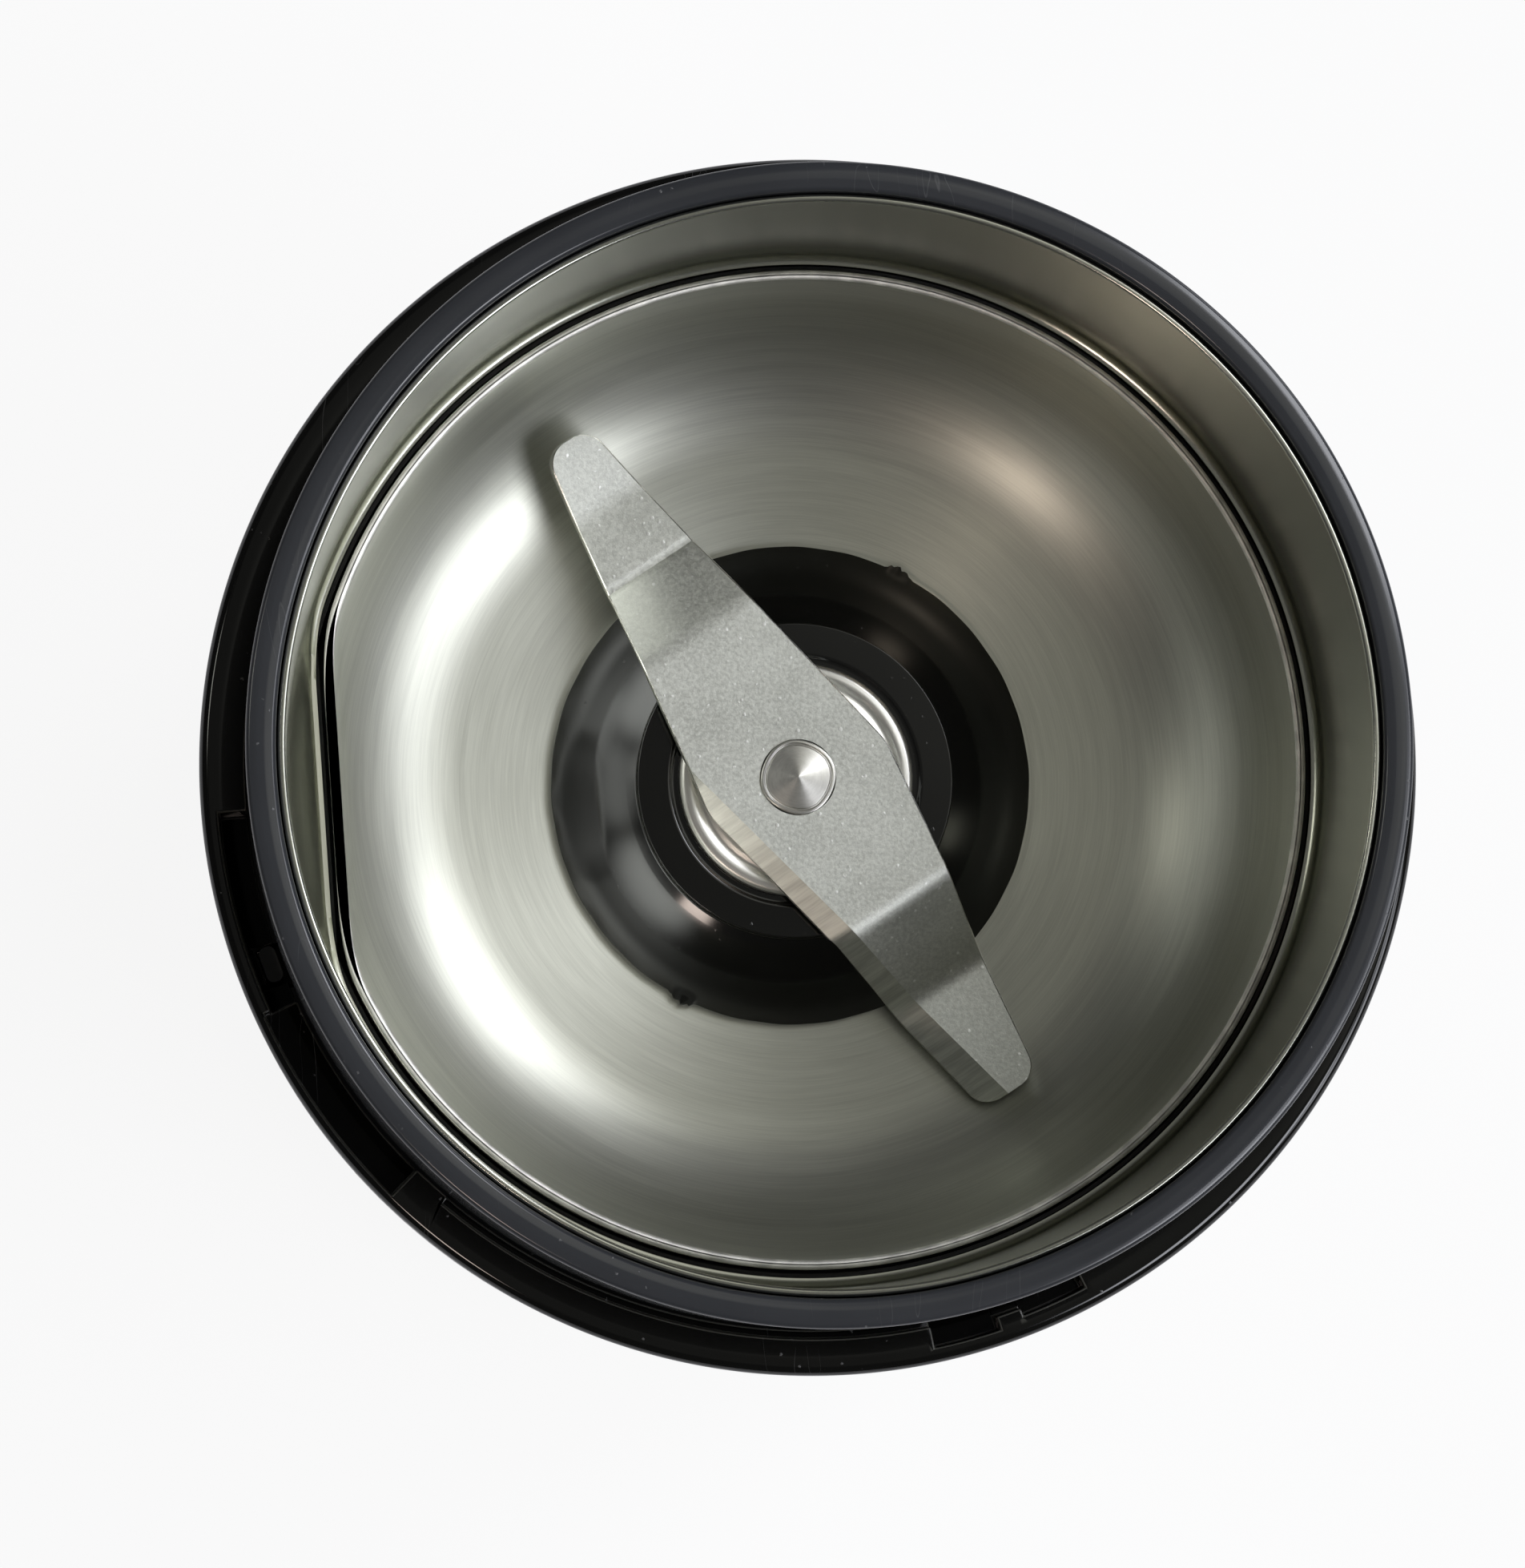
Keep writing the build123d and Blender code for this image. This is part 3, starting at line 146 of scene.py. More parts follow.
class GrinderSizes(bpy.types.PropertyGroup):
    """Sizes of the finished pieces."""

    rim_edge: bpy.props.FloatProperty(
        name="Rim edge", description="Round on the top edges of the rim",
        default=0.42 * mm, unit="LENGTH")
    lip_edge: bpy.props.FloatProperty(
        name="Lip edge", description="Round on the rolled lip of the bowl",
        default=0.38 * mm, unit="LENGTH")
    bowl_corner: bpy.props.FloatProperty(
        name="Bowl corner", description="Round between the bowl's wall and floor",
        default=12.2 * mm, unit="LENGTH")
    flat_blend: bpy.props.FloatProperty(
        name="Flat blend", description="How softly the pressed flat meets the round wall",
        default=1.2 * mm, unit="LENGTH")
    bend_softness: bpy.props.FloatProperty(
        name="Bend softness", description="Half length over which the blade's bends are spread",
        default=0.75 * mm, unit="LENGTH")
    ledge_edge: bpy.props.FloatProperty(
        name="Ledge edge", description="Bevel on the edges of the ledge and its pockets",
        default=0.14 * mm, unit="LENGTH")


def colour(name, words, value):
    """A colour setting of the panel."""
    return bpy.props.FloatVectorProperty(
        name=name, description=words, default=value, size=3, min=0, max=1, subtype="COLOR")


class GrinderColours(bpy.types.PropertyGroup):
    """Colours of the finishes."""

    steel: colour("Brushed steel", "Bowl and sleeve", (0.6, 0.605, 0.535))
    blasted: colour("Blasted steel", "Blade", (0.6, 0.61, 0.56))
    bright_steel: colour("Bright steel", "Washer, shaft and screws", (0.66, 0.65, 0.61))
    black: colour("Black plastic", "Ledge and shell", (0.0035, 0.0035, 0.003))
    rim: colour("Rim plastic", "Rim", (0.033, 0.035, 0.039))
    hub: colour("Hub plastic", "Hub of the bowl", (0.0012, 0.0012, 0.0008))
    satin: colour("Satin plastic", "Base and inner mouldings", (0.03, 0.03, 0.031))
    rubber: colour("Rubber", "Feet, seal and inlet", (0.02, 0.02, 0.02))
    copper: colour("Copper", "Windings and commutator", (0.72, 0.32, 0.14))
    bronze: colour("Bronze", "Bushes and brush holders", (0.5, 0.34, 0.17))
    iron: colour("Iron", "Laminations", (0.2, 0.2, 0.21))
    nylon: colour("Nylon", "Couplings, washer and terminal block", (0.78, 0.76, 0.7))
    lead: colour("Lead", "Insulation of the inner leads", (0.4, 0.05, 0.04))
    carbon: colour("Carbon", "Brushes", (0.03, 0.03, 0.03))


class GrinderLights(bpy.types.PropertyGroup):
    """Strength of the studio light."""

    room: bpy.props.FloatProperty(
        name="Room", description="Strength of the soft light from all round", default=0.06, min=0)
    key: bpy.props.FloatProperty(
        name="Key", description="Strength of the soft boxes on the right", default=7.0, min=0)
    fill: bpy.props.FloatProperty(
        name="Fill", description="Strength of the lamps on the left", default=6.0, min=0)
    top: bpy.props.FloatProperty(
        name="Top", description="Strength of the soft light overhead", default=0.08, min=0)


# ------------------------------------------------------------- shader building


class Level:
    """A number that changes over a surface. Python arithmetic on it adds its nodes."""

    def __init__(self, finish, socket):
        self.finish = finish
        self.socket = socket

    def math(self, operation, *values):
        return self.finish.node("Math", {"operation": operation}, dict(enumerate(values))).level()

    def __add__(self, other):
        return self.math("ADD", self, other)

    def __sub__(self, other):
        return self.math("SUBTRACT", self, other)

    def __rsub__(self, other):
        return self.math("SUBTRACT", other, self)

    def __mul__(self, other):
        return self.math("MULTIPLY", self, other)

    def __truediv__(self, other):
        return self.math("DIVIDE", self, other)

    def above(self, low, high):
        """0 below the first value, 1 above the second, smooth between them."""
        made = self.finish.node("MapRange", {"interpolation_type": "SMOOTHSTEP"},
                                {"Value": self, "From Min": low, "From Max": high})
        return made.level("Result")


class Knot:
    """A node of a finish, with its outputs at hand."""

    def __init__(self, finish, node):
        self.finish = finish
        self.node = node

    def level(self, name=0):
        return Level(self.finish, self.node.outputs[name])

    def link(self, name=0):
        return self.node.outputs[name]


class Finish:
    """One material and the nodes that make it."""

    def __init__(self, name, **constants):
        self.material = bpy.data.materials.new(name)
        self.material.use_nodes = True
        self.tree = self.material.node_tree
        self.tree.nodes.clear()
        self.shader = self.node("BsdfPrincipled", {}, constants)
        output = self.node("OutputMaterial", {}, {"Surface": self.shader.link()})
        self.output = output.node

    def node(self, kind, settings, sockets):
        """Any node: its type, its settings, and the values or links of its sockets."""
        made = self.tree.nodes.new("ShaderNode" + kind)
        for key, value in settings.items():
            setattr(made, key, value)
        for key, value in sockets.items():
            self.feed(made.inputs[key], value)
        return Knot(self, made)

    def feed(self, socket, value):
        """Give a socket a number, a colour, an expression or another socket."""
        if isinstance(value, Level):
            value = value.socket
        if isinstance(value, bpy.types.NodeSocket):
            self.tree.links.new(value, socket)
        elif isinstance(value, (tuple, list)) and socket.type == "RGBA" and len(value) == 3:
            socket.default_value = (*value, 1.0)
        else:
            socket.default_value = value

    def place(self):
        """The point in metres: x, y and z as expressions."""
        where = self.node("TexCoord", {}, {}).link("Object")
        parts = self.node("SeparateXYZ", {}, {"Vector": where})
        return [parts.level(axis) for axis in "XYZ"]

    def vector(self, x, y, z):
        return self.node("CombineXYZ", {}, {"X": x, "Y": y, "Z": z}).link()

    def noise(self, vector, scale=1.0, detail=2.0, roughness=0.5, fourth=None):
        """Noise from 0 to 1."""
        sockets = {"Vector": vector, "Scale": scale, "Detail": detail, "Roughness": roughness}
        settings = {"noise_dimensions": "3D"}
        if fourth is not None:
            settings = {"noise_dimensions": "4D"}
            sockets["W"] = fourth
        return self.node("TexNoise", settings, sockets).level("Fac")

    def cells(self, vector, scale):
        """Distance to the nearest of many scattered points."""
        made = self.node("TexVoronoi", {"feature": "F1"}, {"Vector": vector, "Scale": scale})
        return made.level("Distance")

    def distance(self, x, y):
        """Distance from the Z axis."""
        return self.node("Math", {"operation": "SQRT"}, {0: x * x + y * y}).level()

    def blend(self, amount, first, second):
        """A colour between two."""
        made = self.node("Mix", {"data_type": "RGBA", "clamp_factor": True},
                         {0: amount, 6: first, 7: second})
        return made.link(2)

    def shade(self, name, value):
        self.feed(self.shader.node.inputs[name], value)

    def bump(self, height, depth):
        """Relief of a depth in metres."""
        sockets = {"Height": height, "Distance": depth, "Strength": 1.0}
        self.shade("Normal", self.node("Bump", {}, sockets).link())


class Dome(Finish):
    """The light from all round: soft round lamps on a dim dome."""

    def __init__(self, name, level):
        self.world = bpy.data.worlds.new(name)
        self.world.use_nodes = True
        self.tree = self.world.node_tree
        self.tree.nodes.clear()
        self.direction = self.node("TexCoord", {}, {}).link("Generated")
        self.light = self.vector(level, level, level)

    def lamp(self, tilt, turn, size, strength, shade):
        """Add a lamp at an angle from overhead and an angle round the axis."""
        aim = (sin(tilt) * cos(turn), sin(tilt) * sin(turn), cos(tilt))
        product = self.node("VectorMath", {"operation": "DOT_PRODUCT"}, {0: self.direction, 1: aim})
        amount = product.level("Value").above(cos(size * 1.3), cos(size * 0.7)) * strength
        lit = self.node("VectorMath", {"operation": "SCALE"}, {0: shade, "Scale": amount}).link()
        self.light = self.node("VectorMath", {"operation": "ADD"}, {0: self.light, 1: lit}).link()

    def finish(self):
        """Join the lamps, and show plain white behind the object."""
        soft_light = self.node("Background", {}, {"Color": self.light, "Strength": 1.0})
        white = self.node("Background", {}, {"Color": (1.0, 1.0, 1.0), "Strength": 1.0})
        rays = self.node("LightPath", {}, {})
        sockets = {0: rays.link("Is Camera Ray"), 1: soft_light.link(), 2: white.link()}
        mixed = self.node("MixShader", {}, sockets)
        self.node("OutputWorld", {}, {"Surface": mixed.link()})


def tint(colour, share):
    """The colour times a share."""
    return tuple(min(1.0, channel * share) for channel in colour)


def round_brush(name, base, roughness, anisotropic, depth=0.002 * mm):
    """Metal brushed round the axis: long fine lines that follow the turning."""
    fine, wide = 9000, 1400  # lines in a metre
    made = Finish(name, **{"Metallic": 1.0, "Anisotropic": anisotropic, "Anisotropic Rotation": 0.25})
    x, y, z = made.place()
    radius = made.distance(x, y)
    along_x = x / (radius + 0.5 * mm)
    along_y = y / (radius + 0.5 * mm)
    fine_lines = made.noise(made.vector(radius * fine, z * fine, along_x * 5.0), detail=3.0,
                            roughness=0.6, fourth=along_y * 5.0)
    wide_lines = made.noise(made.vector(radius * wide, z * wide, along_x * 2.2), detail=2.0,
                            fourth=along_y * 2.2)
    patches = made.noise(made.vector(x, y, z), scale=45.0, detail=2.0)
    lines = fine_lines * 0.6 + wide_lines * 0.4
    made.shade("Base Color", made.blend(lines.above(0.25, 0.75), tint(base, 0.86), tint(base, 1.08)))
    made.shade("Roughness", (lines - 0.5) * 0.12 + (patches - 0.5) * 0.06 + roughness)
    made.bump(lines, depth)
    return made.material


def blasted(name, base):
    """Bead-blasted metal: a fine even grain, with its sparkle as painted glints: sparse flecks of much
    lighter colour.
    """
    made = Finish(name, Metallic=1.0)
    x, y, z = made.place()
    where = made.vector(x, y, z)
    grain = made.noise(where, scale=9000.0, detail=2.0, roughness=0.7)
    speckle = made.noise(where, scale=3200.0, detail=1.0)
    cloud = made.noise(where, scale=160.0, detail=2.0)
    shade = grain * 0.4 + speckle * 0.45 + cloud * 0.25
    here_and_there = made.noise(where, scale=900.0).above(0.56, 0.62)
    # Painted glints: sparse flecks where the base colour is made much lighter and the surface smoother.
    painted_glint = (1.0 - made.cells(where, 1500.0).above(0.1, 0.3)) * here_and_there
    plain = made.blend(shade.above(0.35, 0.75), tint(base, 0.84), tint(base, 1.14))
    made.shade("Base Color", made.blend(painted_glint * 0.7, plain, tint(base, 1.75)))
    made.shade("Roughness", (cloud - 0.5) * 0.1 + (speckle - 0.5) * 0.15 - painted_glint * 0.1 + 0.46)
    made.bump(grain + speckle + painted_glint, 0.008 * mm)
    return made.material


def ground(name, base, angle):
    """Ground metal: short scratches across the edge that was ground."""
    made = Finish(name, Metallic=1.0)
    x, y, z = made.place()
    along = x * cos(angle) + y * sin(angle)
    across = y * cos(angle) - x * sin(angle)
    coarse = made.noise(made.vector(along * 1500, across * 120, z * 120), detail=2.0)
    fine = made.noise(made.vector(along * 6000, across * 400, z * 400), detail=2.0)
    marks = coarse * 0.6 + fine * 0.4
    made.shade("Base Color", made.blend(marks.above(0.3, 0.7), tint(base, 0.85), tint(base, 1.25)))
    made.shade("Roughness", (fine - 0.5) * 0.2 + 0.42)
    made.bump(marks, 0.01 * mm)
    return made.material


def moulded(name, base, roughness, specks=0.3, scratches=0.2, grain=0.0, round_lines=0.0, index=1.5):
    """Moulded plastic with the dust and fine scratches of use."""
    dust_colour = (0.42, 0.42, 0.42)
    made = Finish(name, **{"IOR": index})
    x, y, z = made.place()
    where = made.vector(x, y, z)
    cloud = made.noise(where, scale=90.0, detail=3.0)
    ragged = made.noise(where, scale=6000.0, detail=2.0)
    dust = made.cells(where, 900.0) + (ragged - 0.5) * 0.3
    rare = made.noise(where, scale=420.0, detail=1.0)
    speck = (1.0 - dust.above(0.04, 0.12)) * rare.above(0.54, 0.6)
    twist = made.noise(where, scale=60.0, detail=1.0)
    scratch_lines = made.noise(made.vector(x * 500 + twist * 3.0, y * 60 + x * 90, z * 200), detail=1.0)
    away = made.node("Math", {"operation": "ABSOLUTE"}, {0: scratch_lines - 0.5}).level()
    scratch = (1.0 - away.above(0.001, 0.004)) * cloud.above(0.56, 0.66)
    marks = speck * specks + scratch * scratches
    clean = made.blend(cloud, tint(base, 0.8), tint(base, 1.25))
    made.shade("Base Color", made.blend(marks, clean, dust_colour))
    made.shade("Roughness", (cloud - 0.5) * 0.1 + marks * 0.4 + roughness)
    height = speck * 0.5 + cloud * 0.1
    if grain:
        height = height + made.noise(where, scale=2600.0, detail=2.0) * grain
    if round_lines:
        turned_lines = made.noise(made.vector(made.distance(x, y) * 3500, z * 3500, 0.0), detail=1.0)
        height = height + turned_lines * round_lines
    made.bump(height, 0.02 * mm)
    return made.material


def plated(name, base, roughness, mottle=500.0):
    """Plated or sintered metal with a mottled surface."""
    made = Finish(name, Metallic=1.0)
    x, y, z = made.place()
    where = made.vector(x, y, z)
    cloud = made.noise(where, scale=mottle, detail=3.0)
    fine = made.noise(where, scale=mottle * 9, detail=2.0)
    made.shade("Base Color", made.blend(cloud.above(0.3, 0.7), tint(base, 0.8), tint(base, 1.15)))
    made.shade("Roughness", (cloud - 0.5) * 0.2 + roughness)
    made.bump(fine, 0.006 * mm)
    return made.material


def layered(name, base, pitch, metallic, roughness):
    """Stacked sheets or wound wire: even level lines."""
    made = Finish(name, Metallic=metallic)
    x, y, z = made.place()
    where = made.vector(x, y, z)
    wave = made.node("Math", {"operation": "SINE"}, {0: z * (2 * pi / pitch)}).level()
    lines = wave * 0.5 + 0.5
    cloud = made.noise(where, scale=300.0, detail=2.0)
    made.shade("Base Color", made.blend(lines * 0.7 + cloud * 0.3, tint(base, 0.6), tint(base, 1.15)))
    made.shade("Roughness", (cloud - 0.5) * 0.15 + roughness)
    made.bump(lines, pitch / 4)
    return made.material


def soft(name, base, roughness=0.75):
    """Rubber: matt, with a fine moulded grain."""
    made = Finish(name)
    where = made.vector(*made.place())
    cloud = made.noise(where, scale=120.0, detail=3.0)
    grain = made.noise(where, scale=3000.0, detail=2.0)
    made.shade("Base Color", made.blend(cloud, tint(base, 0.8), tint(base, 1.5)))
    made.shade("Roughness", (cloud - 0.5) * 0.15 + roughness)
    made.bump(grain, 0.01 * mm)
    return made.material


finishes = {}


def make_finishes(colours):
    """All the finishes, by name."""
    c = {name: tuple(getattr(colours, name)) for name in GrinderColours.__annotations__}
    finishes.update(
        steel=round_brush("brushed_steel", c["steel"], 0.38, anisotropic=0.7),
        sleeve=round_brush("sleeve_steel", c["steel"], 0.2, anisotropic=0.75),
        turned=round_brush("turned_steel", c["bright_steel"], 0.3, anisotropic=0.45, depth=0.003 * mm),
        bright=round_brush("bright_steel", c["bright_steel"], 0.33, anisotropic=0.3),
        worn=plated("worn_edge", c["bright_steel"], 0.2),
        # The rolled lip's finish is lighter than the bright steel: a painted highlight that keeps the lip
        # bright all round.
        lip=plated("rolled_lip", tint(c["bright_steel"], 1.3), 0.55),
        blasted=blasted("blasted_steel", c["blasted"]),
        ground=ground("ground_steel", c["blasted"], blade_angle),
        black=moulded("black_gloss", c["black"], 0.08, 0.25, 0.12),
        # Lighter black for the ledge's bevelled edges: painted highlight along the edges, with specks and
        # scratches of wear.
        rubbed=moulded("rubbed_edge", tint(c["black"], 16.0), 0.3, 0.8, 0.6),
        rim=moulded("rim_gloss", c["rim"], 0.14, 0.2, 0.08, round_lines=0.3),
        hub=moulded("hub_gloss", c["hub"], 0.1, 0.05, 0.03, index=1.62),
        satin=moulded("satin_plastic", c["satin"], 0.45, 0.1, 0.05, grain=0.5),
        nylon=moulded("natural_nylon", c["nylon"], 0.4, 0.0, 0.0, grain=0.2),
        rubber=soft("black_rubber", c["rubber"]),
        lead=soft("lead_sleeve", c["lead"], 0.45),
        carbon=soft("pressed_carbon", c["carbon"], 0.6),
        zinc=plated("zinc_plate", c["bright_steel"], 0.34),
        bronze=plated("sintered_bronze", c["bronze"], 0.42, mottle=1500.0),
        iron=layered("lamination_stack", c["iron"], 0.5 * mm, 0.9, 0.45),
        winding=layered("copper_winding", c["copper"], 0.6 * mm, 0.85, 0.3),
        copper=plated("copper_bars", c["copper"], 0.25),
    )


# -------------------------------------------------------------- mesh building


def piece(name, points, faces, body, materials, stands_for, crease=35.0):
    """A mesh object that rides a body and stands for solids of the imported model."""
    mesh = bpy.data.meshes.new(name)
    mesh.from_pydata(points, [], faces)
    mesh.validate()
    for material in materials:
        mesh.materials.append(material)
    made = bpy.data.objects.new(name, mesh)
    smooth(made, crease)
    bpy.context.scene.collection.objects.link(made)
    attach(made, body)
    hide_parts(*stands_for)
    return made


def rounded(corners, steps=10, support=0.06 * mm):
    """Outline through (radius, height) corners; a third value rounds a corner with an arc."""
    outline = []
    count = len(corners)
    for index, corner in enumerate(corners):
        point = Vector(corner[:2])
        if len(corner) < 3:
            outline.append(point)
            continue
        before = (Vector(corners[index - 1][:2]) - point).normalized()
        after = (Vector(corners[(index + 1) % count][:2]) - point).normalized()
        half = acos(max(-1.0, min(1.0, before.dot(after)))) / 2
        reach = corner[2] / tan(half)
        middle = point + (before + after).normalized() * (corner[2] / sin(half))
        start = point + before * reach
        end = point + after * reach
        turn = atan2((start - middle).cross(end - middle), (start - middle).dot(end - middle))
        outline.append(start + before * support)
        for step in range(steps + 1):
            angle = turn * step / steps
            arm = start - middle
            outline.append(middle + Vector((arm.x * cos(angle) - arm.y * sin(angle),
                                            arm.x * sin(angle) + arm.y * cos(angle))))
        outline.append(end + after * support)
    return outline


def thicken(outline, longest):
    """Add points so that no step of an outline is longer than a length."""
    dense = []
    for index, point in enumerate(outline):
        after = outline[(index + 1) % len(outline)]
        parts = max(1, ceil((after - point).length / longest))
        dense.extend(point.lerp(after, part / parts) for part in range(parts))
    return dense


def lathe(outline, turns=480, shape=None, closed=True):
    """Turn an outline about the Z axis. A shape changes the radius at an angle and a height."""
    points = []
    rows = len(outline)
    for turn in range(turns):
        angle = 2 * pi * turn / turns
        for radius, height in outline:
            if shape:
                radius = shape(angle, radius, height)
            points.append((radius * cos(angle), radius * sin(angle), height))
    faces = []
    for turn in range(turns):
        here, there = turn * rows, (turn + 1) % turns * rows
        for row in range(rows if closed else rows - 1):
            up = (row + 1) % rows
            faces.append((here + row, there + row, there + up, here + up))
    return points, faces


def second_finish(made, material, wanted):
    """Give another material to the faces whose centre is wanted."""
    made.data.materials.append(material)
    for face in made.data.polygons:
        if wanted(face.center):
            face.material_index = 1


def cut(target, cutters):
    """Take the cutters out of the target, and leave a plain mesh."""
    for cutter in cutters:
        step = target.modifiers.new("cut", "BOOLEAN")
        step.operation = "DIFFERENCE"
        step.solver = "EXACT"
        step.object = cutter
    bake(target)
    for cutter in cutters:
        bpy.data.objects.remove(cutter)


def bake(target):
    """Turn the target's modifiers into plain mesh."""
    bpy.context.view_layer.update()
    graph = bpy.context.evaluated_depsgraph_get()
    done = bpy.data.meshes.new_from_object(target.evaluated_get(graph))
    target.modifiers.clear()
    target.data = done


def smooth(target, crease=35.0):
    """Shade a piece smooth, apart from edges sharper than an angle in degrees."""
    target.data.shade_smooth()
    target.data.set_sharp_from_angle(angle=radians(crease))


def soften(target, width):
    """Bevel the sharp edges of a piece; the new faces get its second material."""
    step = target.modifiers.new("soften", "BEVEL")
    step.material = 1
    step.use_clamp_overlap = False
    step.width = width
    step.segments = 2
    step.limit_method = "ANGLE"
    step.angle_limit = radians(30.0)
    step.harden_normals = False
    bake(target)
    smooth(target)


def cutter(points, faces):
    """A loose mesh to cut with."""
    mesh = bpy.data.meshes.new("cutter")
    mesh.from_pydata(points, [], faces)
    made = bpy.data.objects.new("cutter", mesh)
    bpy.context.scene.collection.objects.link(made)
    return made


def wedge(inner, outer, start, end, bottom, top):
    """A cutter: a piece of a ring between two angles in degrees."""
    steps = 40
    points = []
    for step in range(steps + 1):
        angle = radians(start + (end - start) * step / steps)
        for radius, height in ((inner, bottom), (outer, bottom), (outer, top), (inner, top)):
            points.append((radius * cos(angle), radius * sin(angle), height))
    faces = [(0, 1, 2, 3), tuple(steps * 4 + corner for corner in reversed(range(4)))]
    for step in range(steps):
        for corner in range(4):
            here = step * 4
            nxt = (corner + 1) % 4
            faces.append((here + corner, here + 4 + corner, here + 4 + nxt, here + nxt))
    return cutter(points, faces)


def rod_cutter(low, high, width, bottom, top):
    """A cutter: an upright block from one radius to another, where the rod stands."""
    turn = Matrix.Rotation(rod_angle, 4, "Z")
    corners = [(x, y, z) for z in (bottom, top) for x, y in
               ((low, -width / 2), (high, -width / 2), (high, width / 2), (low, width / 2))]
    return cutter([turn @ Vector(corner) for corner in corners],
                  [(0, 3, 2, 1), (4, 5, 6, 7), (0, 1, 5, 4), (1, 2, 6, 5), (2, 3, 7, 6), (3, 0, 4, 7)])


def round_cutter(radius, bottom, top):
    """A cutter: an upright cylinder on the axis."""
    sides = 96
    points = [(radius * cos(2 * pi * side / sides), radius * sin(2 * pi * side / sides), height)
              for height in (bottom, top) for side in range(sides)]
    faces = [tuple(reversed(range(sides))), tuple(range(sides, 2 * sides))]
    faces += [(side, (side + 1) % sides, sides + (side + 1) % sides, sides + side) for side in range(sides)]
    return cutter(points, faces)


def softer_min(first, second, width):
    """The smaller of two values, with a smooth change over a width."""
    share = max(0.0, min(1.0, 0.5 + 0.5 * (second - first) / width))
    return second * (1 - share) + first * share - width * share * (1 - share)


def pressed_flat(distance, lean, level, blend):
    """Shape for a wall with a flat side that leans outwards above a level."""
    def shape(angle, radius, height):
        across = cos(angle - flat_angle)
        if across < 0.5:
            return radius
        reach = distance + max(0.0, height - level) * tan(lean)
        return softer_min(radius, reach / across, blend)
    return shape


# ------------------------------------------------------------------ operators


class GRINDER_OT_finishes(bpy.types.Operator):
    """Make every finish of the grinder"""

    bl_idname = "grinder.finishes"
    bl_label = "Make finishes"

    def execute(self, context):
        make_finishes(context.scene.grinder_colours)
        return {"FINISHED"}


class GRINDER_OT_rim(bpy.types.Operator):
    """Build the glossy rim with the chamber under it"""

    bl_idname = "grinder.rim"
    bl_label = "Rim and chamber"

    def execute(self, context):
        edge = context.scene.grinder_sizes.rim_edge
        crown_round = 2.5 * mm
        outline = rounded([
            (rim_bore, seal_level),
            (rim_bore, rim_top - rim_crown, edge),
            (42.25 * mm, rim_top, crown_round),
            (43.0 * mm, rim_top, crown_round),
            (rim_radius, rim_top - rim_crown, edge),
            (rim_radius, ledge_top),
            (relief_radius, ledge_top),
            (relief_radius, flange_top),
            (flange_radius, flange_top),
            (flange_radius, flange_under),
            (chamber_radius, flange_under),
            (chamber_radius, floor_under),
            (dam_bore, floor_under),
            (dam_bore, dam_top),
            (dam_radius, dam_top),
            (dam_radius, floor_top),
            (chamber_bore, floor_top),
            (chamber_bore, seal_level),
        ])
        points, faces = lathe(outline)
        made = piece("rim_and_chamber", points, faces, "housing", [finishes["rim"]],
                     ["rim_chamber"])
        cut(made, [rod_cutter(low=41.75 * mm, high=45.5 * mm, width=3.8 * mm, bottom=110 * mm,
                              top=116.2 * mm)])
        smooth(made)
        return {"FINISHED"}


# Pockets of the ledge: outer radius, first and last angle in degrees, and depth, in millimetres
ledge_pockets = [
    (46.15, 185.2, 205.0, 6.0),  # latch slot
    (46.75, 204.9, 226.0, 2.6),  # ramp
    (46.5, 26.0, 46.0, 2.6),  # ramp on the far side
    (44.65, 230.0, 281.9, 1.2),  # long groove
    (46.3, 281.8, 288.4, 3.0),  # key, with a bump in its middle
    (45.25, 288.3, 291.0, 3.0),
    (45.85, 290.9, 297.5, 3.0),
]


class GRINDER_OT_ledge(bpy.types.Operator):
    """Build the ledge with the pockets that the lid locks in"""

    bl_idname = "grinder.ledge"
    bl_label = "Ledge collar"

    def execute(self, context):
        outline = rounded([
            (collar_bore, collar_foot),
            (spigot_radius, collar_foot),
            (spigot_radius, parting_level),
            (parting_radius, parting_level),
            (ledge_radius, ledge_top, ledge_round),
            (collar_bore, ledge_top),
        ])
        points, faces = lathe(outline, turns=512)
        made = piece("ledge_ring", points, faces, "housing",
                     [finishes["black"], finishes["rubbed"]], ["ledge_collar"])
        cutters = [wedge(30 * mm, outer * mm, start, end, ledge_top - depth * mm, ledge_top + 1 * mm)
                   for outer, start, end, depth in ledge_pockets]
        cutters.append(rod_cutter(low=43.9 * mm, high=45.5 * mm, width=3.1 * mm, bottom=115 * mm,
                                  top=126 * mm))
        cut(made, cutters)
        # The bevels take the second finish: their lighter colour is painted highlight, with wear marks.
        soften(made, context.scene.grinder_sizes.ledge_edge)
        return {"FINISHED"}


